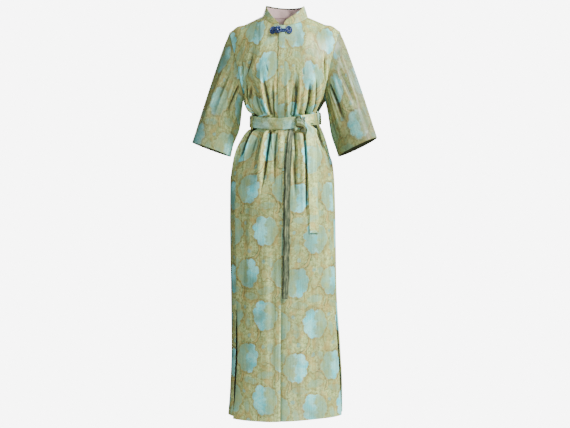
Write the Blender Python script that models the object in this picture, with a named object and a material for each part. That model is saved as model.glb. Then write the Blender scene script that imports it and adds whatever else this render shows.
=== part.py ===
"""A full-length stand-collar cheongsam gown with a tied self belt, hollow, as its wearer fills it.

Metres, +Z up. The gown faces -Y, and +X is its wearer's left. The origin is on the centre plane at the
height where the shoulder seams meet the collar, which is where the wearer's shoulders carry it.
Round the body, an angle of 0 is centre front, 90 the wearer's left side and 180 centre back.
"""

import math
from collections import namedtuple

import bpy
import numpy as np

# --- driving sizes ---------------------------------------------------------------------------------
WALL = 0.0015           # brocade with its seam allowances
TRIM_WALL = 0.0012      # lining, lap band and belt loops
SEAM_GAP = 0.0003       # between pieces that are sewn to or lie on each other
ARMHOLE_GAP = 0.0006
HEM_Z = -1.397
SLIT_TOP_Z = -1.010
UNDERARM_Z = -0.290
WAIST_Z = -0.3605       # middle of the belt at the side seams
WAIST_DIP = 0.020       # how much lower the belt sits at centre front
WAIST_TILT = 0.0045     # and how much higher at the wearer's left than at the middle
BELT_HALF = 0.020
BELT_WALL = 0.003
BELT_CLEAR = 0.0031     # the belt lies over the lap band
HEM_TILT = 0.006        # how much higher the hem hangs at the wearer's left than at the middle
HEM_SIDE_RISE = 0.005
HEM_BACK_RISE = 0.016   # how much higher the back's hem hangs than the front's
SQUARENESS = 2.12       # exponent of the body's oval sections
FRONT_COLUMNS = 15      # of each front, from centre front to the side
BACK_COLUMNS = 11       # of each half of the back
FRONT_NECK_COLUMNS = 7  # of those, how many end on the neckline
BACK_NECK_COLUMNS = 5
NECK_SHARE = 0.44       # share of a half front or back that lies below the neckline
YOKE_ROWS = 10          # from the underarm up to the shoulder seam

# The smooth body of the gown, from the hem up: half widths, depths and where the side seams run.
Section = namedtuple("Section", "z right left front back seam_right seam_left")
SECTIONS = (
    Section(-1.397, 0.2000, 0.2005, 0.120, 0.128, 71.0, 85.0),
    Section(-1.300, 0.1930, 0.2000, 0.119, 0.127, 71.0, 84.0),
    Section(-1.160, 0.1880, 0.1935, 0.117, 0.125, 70.0, 83.0),
    Section(-0.956, 0.1900, 0.1805, 0.115, 0.123, 70.0, 82.0),
    Section(-0.710, 0.1935, 0.1765, 0.114, 0.121, 70.0, 80.0),
    Section(-0.580, 0.1925, 0.1730, 0.113, 0.119, 70.0, 78.0),
    Section(-0.520, 0.1850, 0.1675, 0.111, 0.113, 70.0, 77.0),
    Section(-0.470, 0.1710, 0.1545, 0.108, 0.105, 70.0, 76.0),
    Section(-0.412, 0.1420, 0.1350, 0.101, 0.091, 69.0, 74.0),
    Section(-0.395, 0.1290, 0.1275, 0.097, 0.085, 68.0, 73.0),
    Section(-0.382, 0.1185, 0.1210, 0.093, 0.081, 67.0, 72.0),
    Section(-0.338, 0.1170, 0.1205, 0.093, 0.081, 67.0, 72.0),
    Section(-0.318, 0.1310, 0.1305, 0.102, 0.090, 73.0, 76.0),
    Section(-0.290, 0.1440, 0.1455, 0.111, 0.099, 84.0, 84.0),
    Section(-0.240, 0.1500, 0.1560, 0.117, 0.104, 88.0, 88.0),
)

# Creases of the cloth that the belt gathers. A fold leaves the belt at belt_angle and dies out at
# end_angle, reach metres above (+) or below (-) the belt's middle. Depth is + for a ridge, - for a trough.
Fold = namedtuple("Fold", "belt_angle end_angle reach half_width depth")
FOLDS = (
    # bodice front
    Fold(-62.0, -78.0, 0.135, 0.017, -0.0101),
    Fold(-27.0, -43.0, 0.170, 0.014, 0.0101),
    Fold(-47.0, -58.0, 0.110, 0.016, 0.0051),
    Fold(-19.0, -14.0, 0.130, 0.013, -0.0058),
    Fold(12.0, 9.0, 0.090, 0.014, 0.0051),
    Fold(22.0, 27.0, 0.140, 0.014, -0.0072),
    Fold(35.0, 38.0, 0.130, 0.013, 0.0058),
    Fold(49.0, 51.0, 0.120, 0.014, -0.0087),
    Fold(60.0, 58.0, 0.120, 0.012, 0.0058),
    Fold(74.0, 86.0, 0.120, 0.016, -0.0087),
    # skirt front
    Fold(-62.0, -72.0, -0.140, 0.014, -0.0116),
    Fold(-30.0, -41.0, -0.260, 0.014, 0.0087),
    Fold(-20.0, -27.0, -0.110, 0.014, -0.0072),
    Fold(-4.0, -3.0, -0.120, 0.014, 0.0043),
    Fold(25.0, 23.0, -0.140, 0.018, -0.0043),
    Fold(66.0, 74.0, -0.110, 0.013, -0.0101),
    # bodice back
    Fold(100.0, 98.0, 0.110, 0.017, -0.0087),
    Fold(122.0, 126.0, 0.150, 0.018, 0.0072),
    Fold(143.0, 141.0, 0.130, 0.018, -0.0087),
    Fold(165.0, 167.0, 0.120, 0.017, 0.0065),
    Fold(188.0, 184.0, 0.140, 0.018, -0.0080),
    Fold(210.0, 212.0, 0.120, 0.017, 0.0072),
    Fold(231.0, 227.0, 0.140, 0.018, -0.0087),
    Fold(256.0, 259.0, 0.110, 0.017, 0.0065),
    # skirt back
    Fold(98.0, 93.0, -0.150, 0.017, -0.0087),
    Fold(120.0, 117.0, -0.240, 0.017, 0.0072),
    Fold(141.0, 143.0, -0.170, 0.018, -0.0080),
    Fold(163.0, 161.0, -0.260, 0.018, 0.0072),
    Fold(186.0, 188.0, -0.180, 0.018, -0.0087),
    Fold(209.0, 212.0, -0.250, 0.018, 0.0072),
    Fold(232.0, 236.0, -0.160, 0.018, -0.0087),
    Fold(255.0, 262.0, -0.220, 0.017, 0.0065),
)

FOLD_ARC = 0.002        # metres of cloth to a degree, where the folds are
FOLD_FADE = 1.6         # how late along its reach a fold dies out
FOLD_SPREAD = 0.7       # how much wider it is by then
TROUGH_START = 0.1      # where a fold begins, in half widths of the belt from its middle
RIDGE_START = 1.1

# Broad rises of the cloth: the fullness over the bust and the shoulder blades, and the skirt's
# long soft flutes, which run to the hem.
Rise = namedtuple("Rise", "angle z half_angle half_height depth")
RISES = (
    Rise(-36.0, -0.235, 30.0, 0.085, 0.007),
    Rise(36.0, -0.235, 30.0, 0.085, 0.007),
    Rise(142.0, -0.140, 30.0, 0.110, 0.005),
    Rise(-142.0, -0.140, 30.0, 0.110, 0.005),
    Rise(-58.0, -0.850, 16.0, 0.420, -0.0045),
    Rise(48.0, -1.250, 18.0, 0.420, -0.0035),
    Rise(-22.0, -1.280, 18.0, 0.380, 0.0030),
    Rise(150.0, -1.150, 18.0, 0.500, -0.0050),
    Rise(-152.0, -1.180, 18.0, 0.480, -0.0050),
    Rise(180.0, -1.120, 16.0, 0.480, 0.0045),
)

# neck and shoulders
NECK_HALF = 0.080
NECK_FRONT = 0.072
NECK_BACK = 0.062
NECK_FRONT_Z = -0.039
NECK_BACK_Z = 0.004
NECK_TILT = 0.003       # how much lower the neckline is at the wearer's left than at the middle
NECK_FALL = 1.3         # how sharply the front neckline dips
SHOULDER_TIP = {-1: (0.1965, 0.004, -0.0520), 1: (0.1920, 0.004, -0.0525)}

# How a half front or back rises from the underarm to its top edge: tangents of its up-going threads.
# The three columns are at the centre, below the neck's side and along the armhole.
Lift = namedtuple("Lift", "low_y low_z top_x top_y top_z")
FRONT_LIFT = (
    Lift(-0.020, 0.250, 0.00, 0.070, 0.230),
    Lift(-0.050, 0.300, 0.00, 0.200, 0.040),
    Lift(-0.240, 0.130, 0.06, 0.140, 0.200),
)
BACK_LIFT = (
    Lift(0.040, 0.280, 0.00, -0.090, 0.200),
    Lift(0.060, 0.300, 0.00, -0.200, 0.040),
    Lift(0.240, 0.130, 0.06, -0.140, 0.200),
)
ARMHOLE_EASE = 2.2      # how late the tangents turn to the armhole's
FLARE_X = 0.25          # how much of the skirt's and bodice's flare runs on into the yoke
FLARE_Y = 0.06
FLARE_STEP = 0.01
ARMHOLE_HOLD = 4        # how near the armhole the flare dies out
OVAL_TURN = 1.6         # turns the way out of an oval section towards the front and back
YOKE_CALM = 0.5         # share of the yoke's height above which its folds fade

# collar
COLLAR_TOP_HALF = 0.0670
COLLAR_TOP_FRONT = 0.0600
COLLAR_TOP_BACK = 0.0550
COLLAR_HEIGHT = 0.0415
COLLAR_BACK_HEIGHT = 0.0350
COLLAR_ROWS = 4
COLLAR_CURVE_ANGLE = 42.0    # where the collar's rounded front begins to fall
COLLAR_END_SHARE = 0.14      # height left at the very front
LINING_FIRST_ROW = 6         # of the yoke's rows, where the lining inside the back neck starts

# sleeves, by side: the cuff's outer and inner ends, seen from the front, as (distance out, z)
CUFF = {-1: ((0.3240, -0.4400), (0.1890, -0.4890)), 1: ((0.3215, -0.4260), (0.1870, -0.4900))}
CUFF_Y = -0.022
CUFF_HALF_DEPTH = 0.060
CUFF_TILT = 0.060            # how far the cuff's front is lifted, for each metre across it
SLEEVE_ROWS = 9
SLEEVE_SET = 0.125           # share of its length that keeps the armhole's form
SLEEVE_ROUNDING = 0.006      # how far the arm fills the sleeve out below the shoulder
SleeveHang = namedtuple("SleeveHang", "along depth")
SLEEVE_HANG = {-1: SleeveHang(0.42, 0.0135), 1: SleeveHang(0.56, 0.0085)}   # of the underside
HANG_HALF_TURN = 0.16
HANG_HALF_ALONG = 0.44
SleeveFold = namedtuple("SleeveFold", "turn along half_turn half_along depth")
SLEEVE_FOLDS = (
    SleeveFold(0.10, 0.16, 0.09, 0.20, -0.007),
    SleeveFold(0.22, 0.42, 0.08, 0.34, -0.004),
    SleeveFold(0.36, 0.62, 0.10, 0.30, 0.003),
    SleeveFold(0.88, 0.20, 0.09, 0.22, -0.006),
    SleeveFold(0.74, 0.50, 0.09, 0.34, -0.004),
)

# side slits: how far the edges stand apart, as a share of the way down from the slit's top
Gape = namedtuple("Gape", "share front back")
SLIT_GAPE = (
    Gape(0.0, 0.0000, 0.0000),
    Gape(0.3, 0.0020, 0.0040),
    Gape(0.7, 0.0030, 0.0080),
    Gape(1.0, 0.0020, 0.0070),
)

# centre-front lap band
LAP_OUTER_X = -0.0152
LAP_EDGE_X = 0.0062
LAP_END_Z = -0.533
LAP_CLEAR = 0.0008
LAP_TOP_ROW = 0.985          # of the yoke, just under the collar
LAP_STEPS = 4                # across its width

# belt
BELT_ANGLES = 44
KNOT_X = 0.0570
KNOT_HALF_WIDTH = 0.0175
KNOT_HALF_HEIGHT = 0.0225
KNOT_HALF_DEPTH = 0.0085
KNOT_SEAT = 1.03             # how far its middle stands off the belt, in half depths
KNOT_END = 0.14              # share of its width left at its top and bottom
KNOT_FULLNESS = 3.2
KNOT_BOXINESS = 0.7
KNOT_LEVELS = 7
KNOT_SIDES = 16
WAIST_DEPTH = 0.086          # of the belt's front off the centre, where the knot sits
WAIST_RADIUS = 0.112         # of the belt's turn at the side seams
LOOP_HALF_WIDTH = 0.0070
LOOP_HALF_HEIGHT = 0.0260
LOOP_END_OFF = 0.0032        # how far a loop's sewn ends stand off the smooth waist
LOOP_RISE = 0.0025           # how far past the belt's edge a loop turns
TAIL_WALL = 0.0028
# Where each hanging end lies on the skirt: z, the x of its two edges and how far it stands off.
TailRow = namedtuple("TailRow", "z left right stand_off")
WIDE_TAIL = (
    TailRow(-0.3560, 0.0760, 0.0930, 0.0067),
    TailRow(-0.3850, 0.0770, 0.1030, 0.0067),
    TailRow(-0.4150, 0.0775, 0.1075, 0.0040),
    TailRow(-0.4700, 0.0810, 0.1110, 0.0020),
    TailRow(-0.5600, 0.0850, 0.1150, 0.0010),
    TailRow(-0.6600, 0.0890, 0.1190, 0.0009),
    TailRow(-0.7540, 0.0920, 0.1220, 0.0009),
)
NARROW_TAIL = (
    TailRow(-0.4030, 0.0190, 0.0370, 0.0010),
    TailRow(-0.4450, 0.0140, 0.0340, 0.0009),
    TailRow(-0.5200, 0.0070, 0.0300, 0.0009),
    TailRow(-0.6500, 0.0050, 0.0270, 0.0009),
    TailRow(-0.8000, 0.0030, 0.0250, 0.0009),
    TailRow(-0.9200, 0.0020, 0.0240, 0.0009),
    TailRow(-0.9790, 0.0000, 0.0190, 0.0009),
)

# knotted button and loop at the neck
FROG_Z = -0.054
FROG_PAD_RADIUS = 0.0118
FROG_PAD_THICK = 0.0050
FROG_RIGHT_X = -0.0360
FROG_LEFT_X = 0.0205
FROG_KNOT_X = -0.0160
FROG_KNOT_RADIUS = 0.0088
FROG_PAD_SEAT = 0.0006       # off the fronts
FROG_KNOT_SEAT = 0.0025      # off the fronts, over the lap band

FROG_PAD_SIDES = 20
FROG_KNOT_SIDES = 16
FROG_KNOT_SQUASH = 0.8
FROG_KNOT_TILTS = (-75, -50, -25, 0, 25, 50, 75)
# the section of a coiled pad, as shares of its radius and thickness
Coil = namedtuple("Coil", "wide high")
FROG_COILS = (
    Coil(0.90, 0.00),
    Coil(1.00, 0.40),
    Coil(0.88, 0.90),
    Coil(0.64, 0.70),
    Coil(0.40, 1.00),
    Coil(0.14, 0.84),
)

# colours, as linear RGB
BROCADE = (0.300, 0.310, 0.150)
BELT_CLOTH = (0.300, 0.340, 0.190)
LINING = (0.560, 0.380, 0.340)
FROG_SATIN = (0.020, 0.040, 0.260)

UP = np.array((0.0, 0.0, 1.0))


# --- small mathematics -----------------------------------------------------------------------------
def smooth(share):
    """0 up to 1 with level ends."""
    share = min(max(share, 0.0), 1.0)
    return share * share * (3.0 - 2.0 * share)


def bump(distance, half_width):
    """1 in the middle, falling smoothly to 0 at half_width."""
    share = abs(distance) / half_width
    return math.cos(share * math.pi / 2) ** 2 if share < 1.0 else 0.0


def unit(vector):
    return vector / np.linalg.norm(vector)


def along(table, column, key, where):
    """A column of a table read at any place: a smooth curve through its rows, with no overshoot."""
    keys = [getattr(row, key) for row in table]
    values = [getattr(row, column) for row in table]
    if keys[0] > keys[-1]:
        keys.reverse()
        values.reverse()
    steps = [b - a for a, b in zip(keys, keys[1:])]
    rises = [(b - a) / step for a, b, step in zip(values, values[1:], steps)]
    slopes = [rises[0]]
    for before, after in zip(rises, rises[1:]):
        slopes.append(2 * before * after / (before + after) if before * after > 0 else 0.0)
    slopes.append(rises[-1])
    if where <= keys[0]:
        return values[0] + slopes[0] * (where - keys[0])
    if where >= keys[-1]:
        return values[-1] + slopes[-1] * (where - keys[-1])
    i = max(n for n, value in enumerate(keys[:-1]) if value <= where)
    return float(hermite(values[i], slopes[i] * steps[i], values[i + 1], slopes[i + 1] * steps[i],
                         (where - keys[i]) / steps[i]))


def hermite(start, leaving, end, arriving, t):
    """Cubic curve from start to end with the given tangents."""
    return ((2 * t ** 3 - 3 * t ** 2 + 1) * start + (t ** 3 - 2 * t ** 2 + t) * leaving
            + (3 * t ** 2 - 2 * t ** 3) * end + (t ** 3 - t ** 2) * arriving)


# --- the body of the gown --------------------------------------------------------------------------
def belt_shift(angle):
    """How far the belt's middle is off WAIST_Z at this angle."""
    turn = math.radians(angle)
    return WAIST_TILT * math.sin(turn) - WAIST_DIP * max(math.cos(turn), 0.0) ** 1.5


def section_point(angle, z):
    """Point of the smooth body, without its folds. Its narrow waist follows the belt up and down."""
    level = z - belt_shift(angle) * smooth(1.0 - abs(z - WAIST_Z) / 0.15)
    sine = math.sin(math.radians(angle))
    cosine = math.cos(math.radians(angle))
    wide = along(SECTIONS, "left" if sine > 0 else "right", "z", level)
    deep = along(SECTIONS, "front" if cosine > 0 else "back", "z", level)
    radius = (abs(sine / wide) ** SQUARENESS + abs(cosine / deep) ** SQUARENESS) ** (-1 / SQUARENESS)
    return np.array((radius * sine, -radius * cosine, z))


def seam_angle(side, z):
    """Where a side seam runs, in degrees from centre front."""
    return along(SECTIONS, "seam_left" if side > 0 else "seam_right", "z", z)


def hem_lift(face, angle, z):
    """How far the cloth near the hem is lifted. The back hangs shorter than the fronts."""
    sine = math.sin(math.radians(angle))
    lift = HEM_TILT * sine + HEM_SIDE_RISE * sine ** 2 + (HEM_BACK_RISE if face > 0 else 0.0)
    return lift * smooth((SLIT_TOP_Z - 0.04 - z) / 0.3)


def turned(angle, other):
    """The way round from other to angle, between -180 and 180 degrees."""
    return (angle - other + 180.0) % 360.0 - 180.0


def fold_depth(angle, z):
    """How far the folded cloth stands out of (+) or sinks into (-) the smooth body here."""
    height = z - WAIST_Z - belt_shift(angle)
    depth = 0.0
    for fold in FOLDS:
        share = (abs(height) - BELT_HALF) / (abs(fold.reach) - BELT_HALF)
        if height * fold.reach <= 0 or share >= 1.0:
            continue
        centre = fold.belt_angle + (fold.end_angle - fold.belt_angle) * max(share, 0.0)
        metres = FOLD_ARC * abs(turned(angle, centre))
        start = RIDGE_START if fold.depth > 0 else TROUGH_START
        held = smooth(abs(height) / BELT_HALF - start)
        depth += (fold.depth * held * (1.0 - max(share, 0.0) ** FOLD_FADE)
                  * bump(metres, fold.half_width * (1.0 + FOLD_SPREAD * max(share, 0.0))))
    for rise in RISES:
        depth += (rise.depth * bump(turned(angle, rise.angle), rise.half_angle)
                  * bump(z - rise.z, rise.half_height))
    return depth


def neck_point(angle):
    """The neckline, at an angle round it: 0 centre front, 90 the wearer's left."""
    sine = math.sin(math.radians(angle))
    cosine = math.cos(math.radians(angle))
    tilt = NECK_TILT * sine
    if cosine > 0:
        return np.array((NECK_HALF * sine, -NECK_FRONT * cosine, NECK_FRONT_Z * cosine ** NECK_FALL - tilt))
    return np.array((NECK_HALF * sine, -NECK_BACK * cosine, NECK_BACK_Z * cosine ** 2 - tilt))


def top_point(face, side, u):
    """The top edge of a half front (face -1) or back (face 1): the neckline, then the shoulder seam."""
    if u <= NECK_SHARE:
        angle = 90.0 * u / NECK_SHARE
        return neck_point(side * (angle if face < 0 else 180.0 - angle))
    tip = np.array(SHOULDER_TIP[side]) * (side, 1, 1)
    root = neck_point(side * 90.0)
    return root + (tip - root) * (u - NECK_SHARE) / (1.0 - NECK_SHARE)


def lift_at(lifts, u):
    """The tangents between the three columns that the lift table names."""
    if u <= NECK_SHARE:
        share = smooth(u / NECK_SHARE)
        return np.array(lifts[0]) * (1 - share) + np.array(lifts[1]) * share
    share = ((u - NECK_SHARE) / (1.0 - NECK_SHARE)) ** ARMHOLE_EASE
    return np.array(lifts[1]) * (1 - share) + np.array(lifts[2]) * share


def panel_point(face, side, u, row):
    """A point of the cloth. u runs from the centre line (0) to the side seam or armhole (1).

    A row below 0 is a z under the underarm, and a row from 0 to 1 climbs from there to the top edge.
    """
    z = row if row < 0 else UNDERARM_Z
    seam = seam_angle(side, z)
    angle = side * (u * seam if face < 0 else 180.0 - u * (180.0 - seam))
    z += hem_lift(face, angle, z)
    if row < 0:
        bare = section_point(angle, z)
        out = unit((bare - (0, 0, z)) * (1, OVAL_TURN, 1))
        return bare + out * fold_depth(angle, z)
    low = section_point(angle, z)
    flare = (low - section_point(angle, z - FLARE_STEP)) / FLARE_STEP
    lift = lift_at(FRONT_LIFT if face < 0 else BACK_LIFT, u)
    calm = 1.0 - u ** ARMHOLE_HOLD
    leaving = np.array((flare[0] * FLARE_X * calm, lift[0] + flare[1] * FLARE_Y * calm, lift[1]))
    arriving = np.array((side * lift[2], lift[3], lift[4]))
    bare = hermite(low, leaving, top_point(face, side, u), arriving, row)
    out = unit((bare - (0, 0, bare[2])) * (1, OVAL_TURN, 1))
    return bare + out * fold_depth(angle, bare[2]) * (1.0 - smooth((row - YOKE_CALM) / (1.0 - YOKE_CALM)))


def panel_normal(face, side, u, row):
    """Outward normal of the cloth, the same from both sides of a seam."""
    if row < 0:
        du, dr = 0.01, 0.004
        across = panel_point(face, side, u + du, row) - panel_point(face, side, u - du, row)
        up = panel_point(face, side, u, row + dr) - panel_point(face, side, u, row - dr)
    else:
        du, dr = 0.03, 0.03
        across = panel_point(face, side, min(u + du, 1.0), row) - panel_point(face, side, u - du, row)
        up = panel_point(face, side, u, min(row + dr, 1.0)) - panel_point(face, side, u, max(row - dr, 0.0))
    return unit(np.cross(across, up) * (-side * face))


def shoulder_normal(side, u):
    """Along the shoulder seam the front and back share one normal."""
    return unit(panel_normal(-1, side, u, 1.0) + panel_normal(1, side, u, 1.0))


# --- mesh making -----------------------------------------------------------------------------------
def material(name, colour, roughness):
    made = bpy.data.materials.new(name)
    made.use_nodes = True
    shader = made.node_tree.nodes["Principled BSDF"]
    shader.inputs["Base Color"].default_value = (*colour, 1.0)
    shader.inputs["Roughness"].default_value = roughness
    shader.inputs["Metallic"].default_value = 0.0
    made.diffuse_color = (*colour, 1.0)
    return made


def add_mesh(name, points, faces, finish):
    mesh = bpy.data.meshes.new(name)
    mesh.from_pydata([tuple(point) for point in points], [], faces)
    mesh.shade_smooth()
    mesh.set_sharp_from_angle(angle=math.radians(40))
    mesh.materials.append(finish)
    made = bpy.data.objects.new(name, mesh)
    bpy.context.scene.collection.objects.link(made)


def add_shell(name, outer, inner, finish, tube=False):
    """A closed wall between two grids of points. Each grid's rows go up and its columns go round.

    The columns run so that across x up points out of the cloth. A tube's last column meets its first.
    """
    outer = np.array(outer)
    inner = np.array(inner)
    rows, columns = outer.shape[:2]
    points = np.concatenate((outer.reshape(-1, 3), inner.reshape(-1, 3)))
    under = rows * columns

    def at(row, column):
        return row * columns + column % columns

    # each square of the grid is split along its shorter diagonal, the same on both sides of the wall
    faces = []
    for row in range(rows - 1):
        for column in range(columns if tube else columns - 1):
            a = at(row, column)
            b = at(row, column + 1)
            c = at(row + 1, column + 1)
            d = at(row + 1, column)
            if np.linalg.norm(points[a] - points[c]) > np.linalg.norm(points[b] - points[d]):
                a, b, c, d = b, c, d, a
            faces += [(a, b, c), (a, c, d)]
            faces += [(under + a, under + c, under + b), (under + a, under + d, under + c)]
    for column in range(columns if tube else columns - 1):
        a, b = at(0, column), at(0, column + 1)
        faces += [(a, under + a, under + b), (a, under + b, b)]
        a, b = at(rows - 1, column), at(rows - 1, column + 1)
        faces += [(a, under + b, under + a), (a, b, under + b)]
    for row in range(0 if tube else rows - 1):
        a, b = at(row, 0), at(row + 1, 0)
        faces += [(a, under + b, under + a), (a, b, under + b)]
        a, b = at(row, columns - 1), at(row + 1, columns - 1)
        faces += [(a, under + a, under + b), (a, under + b, b)]
    add_mesh(name, points, faces, finish)


def add_loft(name, rings, finish):
    """A closed body through rings of equally many points, from the lowest ring up, with flat ends."""
    count = len(rings[0])
    points = [point for ring in rings for point in ring]
    faces = []
    for level in range(len(rings) - 1):
        for i in range(count):
            a = level * count + i
            b = level * count + (i + 1) % count
            faces.append((a, b, b + count, a + count))
    faces.append(tuple(reversed(range(count))))
    faces.append(tuple(range(len(points) - count, len(points))))
    add_mesh(name, points, faces, finish)


def grid_normals(points, tube=False):
    """Normals of a grid of points, whose rows go up and columns go round."""
    points = np.array(points)
    if tube:
        across = np.roll(points, -1, axis=1) - np.roll(points, 1, axis=1)
    else:
        across = np.gradient(points, axis=1)
    up = np.gradient(points, axis=0)
    normals = np.cross(across, up)
    return normals / np.linalg.norm(normals, axis=2, keepdims=True)


# --- the pieces ------------------------------------------------------------------------------------
def body_rows():
    """Rows of a front or back: z below the underarm, close together by the belt, then the yoke's."""
    skirt = [HEM_Z, HEM_Z + 0.10, -1.20, -1.10, SLIT_TOP_Z, -0.90, -0.80, -0.71, -0.635, -0.575, -0.53,
             -0.495, -0.465, -0.440, -0.420]
    waist = [-0.402, -0.386, -0.370, -0.353, -0.338, -0.324, -0.308]
    return skirt + waist + [i / YOKE_ROWS for i in range(YOKE_ROWS + 1)]


def column_shares(total, on_neck):
    """u of each column, with on_neck of them below the neckline."""
    below_neck = [NECK_SHARE * i / on_neck for i in range(on_neck)]
    beyond = total - on_neck
    return below_neck + [NECK_SHARE + (1 - NECK_SHARE) * i / beyond for i in range(beyond + 1)]


def slit_offset(face, row):
    """How far a slit's edge is drawn back from the side seam."""
    share = (SLIT_TOP_Z - row) / (SLIT_TOP_Z - HEM_Z)
    return along(SLIT_GAPE, "front" if face < 0 else "back", "share", share) if share > 0 else 0.0


def half_panel(face, side, rows, shares):
    """Outer points and normals of a half front or back, from its centre line to its side."""
    points = np.array([[panel_point(face, side, u, row) for u in shares] for row in rows])
    normals = np.array([[panel_normal(face, side, u, row) for u in shares] for row in rows])
    for j, u in enumerate(shares):
        if u >= NECK_SHARE:
            normals[-1, j] = shoulder_normal(side, u)
            points[-1, j, 1] += face * SEAM_GAP / 2
    for i, row in enumerate(rows):
        back_in = unit(points[i, -2] - points[i, -1])
        if row <= 0:
            points[i, -1] += back_in * (SEAM_GAP / 2 + slit_offset(face, row))
    return points, normals


def add_front(name, side, finish):
    """One front, with its inner edge at the centre line."""
    shares = column_shares(FRONT_COLUMNS, FRONT_NECK_COLUMNS)
    points, normals = half_panel(-1, side, body_rows(), shares)
    points[:, 0, 0] += side * SEAM_GAP / 2
    if side < 0:
        points = points[:, ::-1]
        normals = normals[:, ::-1]
    add_shell(name, points, points - WALL * normals, finish)


def both_backs(rows, shares):
    """Outer points and normals across the back, from the wearer's left to the right."""
    left, left_normals = half_panel(1, 1, rows, shares)
    right, right_normals = half_panel(1, -1, rows, shares)
    points = np.concatenate((left[:, ::-1], right[:, 1:]), axis=1)
    normals = np.concatenate((left_normals[:, ::-1], right_normals[:, 1:]), axis=1)
    return points, normals


def add_back(name, finish):
    """The back, in one piece from side to side."""
    shares = column_shares(BACK_COLUMNS, BACK_NECK_COLUMNS)
    points, normals = both_backs(body_rows(), shares)
    add_shell(name, points, points - WALL * normals, finish)


def armhole_walk():
    """Steps round the armhole: from the underarm up the front, then from the shoulder down the back."""
    steps = [i / YOKE_ROWS for i in range(YOKE_ROWS + 1)]
    return [(-1, step) for step in steps] + [(1, step) for step in reversed(steps[1:-1])]


def sleeve_grid(side, rows, gap):
    """Outer points of a sleeve, from the armhole (row 0) down to the cuff."""
    armhole = np.array([panel_point(face, side, 1.0, step) for face, step in armhole_walk()])
    count = len(armhole)
    (out_x, out_z), (in_x, in_z) = CUFF[side]
    middle = np.array((side * (out_x + in_x) / 2, CUFF_Y, (out_z + in_z) / 2))
    outward = np.array((side * (out_x - in_x) / 2, 0.0, (out_z - in_z) / 2))
    forward = np.array((0.0, -1.0, CUFF_TILT)) * CUFF_HALF_DEPTH
    turns = [2 * math.pi * k / count for k in range(count)]
    cuff = np.array([middle - outward * math.cos(turn) + forward * math.sin(turn) for turn in turns])
    grid = []
    for i in range(rows + 1):
        share = i / rows
        ring = armhole * (1 - share) + cuff * share
        centre = ring.mean(axis=0)
        for k in range(count):
            out = unit(ring[k] - centre)
            turn = k / count
            over = 0.5 - 0.5 * math.cos(2 * math.pi * turn)
            lift = SLEEVE_ROUNDING * over * math.sin(math.pi * share ** 0.6)
            lift += (SLEEVE_HANG[side].depth * bump(0.5 - abs(turn - 0.5), HANG_HALF_TURN)
                     * bump(share - SLEEVE_HANG[side].along, HANG_HALF_ALONG))
            for fold in SLEEVE_FOLDS:
                apart = (turn - fold.turn + 0.5) % 1.0 - 0.5
                lift += (fold.depth * bump(apart, fold.half_turn)
                         * bump(share - fold.along, fold.half_along))
            ring[k] = ring[k] + out * lift * smooth(share / SLEEVE_SET)
        grid.append(ring)
    grid[0] = grid[0] + gap * np.array([unit(low - top) for top, low in zip(grid[0], grid[1])])
    return np.array(grid)


def armhole_normals(side, sleeve_normals):
    """Normals of a sleeve's first edge. Where the sleeve runs on from the body they are the body's,
    so that the two edges face each other, and where it folds back under the arm they are its own.
    """
    found = []
    for own, (face, step) in zip(sleeve_normals, armhole_walk()):
        body = shoulder_normal(side, 1.0) if step == 1.0 else panel_normal(face, side, 1.0, step)
        share = smooth(float(own @ body) / 0.6)
        found.append(unit(own * (1 - share) + body * share))
    return found


def add_sleeve(name, side, finish):
    """A straight three-quarter sleeve, set into the armhole."""
    points = sleeve_grid(side, SLEEVE_ROWS, ARMHOLE_GAP)[::-1]
    turned_back = -1 if side < 0 else 1
    normals = grid_normals(points[:, ::turned_back], tube=True)[:, ::turned_back]
    normals[-1] = armhole_normals(side, normals[-1])
    points = points[:, ::turned_back]
    add_shell(name, points, points - WALL * normals[:, ::turned_back], finish, tube=True)


def collar_point(angle, share):
    """A point of the stand collar at an angle round the neck, share of its full height up."""
    sine = math.sin(math.radians(angle))
    cosine = math.cos(math.radians(angle))
    foot = neck_point(angle)
    deep = COLLAR_TOP_FRONT if cosine > 0 else COLLAR_TOP_BACK
    height = COLLAR_HEIGHT if cosine > 0 else (
        COLLAR_HEIGHT + (COLLAR_BACK_HEIGHT - COLLAR_HEIGHT) * cosine ** 2)
    top = np.array((COLLAR_TOP_HALF * sine, -deep * cosine, foot[2] + height))
    return foot + (top - foot) * share


def collar_grid(angles, rows, drop):
    """The collar's rounded fronts: near centre front its top edge falls along a quarter oval."""
    first = angles[0]
    grid = []
    for i in range(rows + 1):
        line = []
        for angle in angles:
            near = min(angle, 360.0 - angle)
            over = min(max(1.0 - (near - first) / (COLLAR_CURVE_ANGLE - first), 0.0), 1.0)
            top = COLLAR_END_SHARE + (1 - COLLAR_END_SHARE) * math.sqrt(1.0 - over ** 2)
            line.append(collar_point(angle, top * i / rows))
        grid.append(line)
    grid = np.array(grid)
    grid[:, :, 2] += drop
    return grid


def neck_angles():
    """Angles round the neckline that the body's columns meet, without those at centre front."""
    front = [90.0 * i / FRONT_NECK_COLUMNS for i in range(1, FRONT_NECK_COLUMNS + 1)]
    back = [90.0 + 90.0 * i / BACK_NECK_COLUMNS for i in range(1, BACK_NECK_COLUMNS + 1)]
    left = front + back
    return left + [360.0 - angle for angle in reversed(left[:-1])]


def add_collar(name, lining_name, finish, lining_finish):
    """The stand collar, and the lining that shows inside it."""
    outer = collar_grid(neck_angles(), COLLAR_ROWS, SEAM_GAP)
    normals = grid_normals(outer)
    add_shell(name, outer, outer - WALL * normals, finish)
    lining = outer - (WALL + SEAM_GAP) * normals
    add_shell(lining_name, lining, lining - TRIM_WALL * normals, lining_finish)


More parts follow.
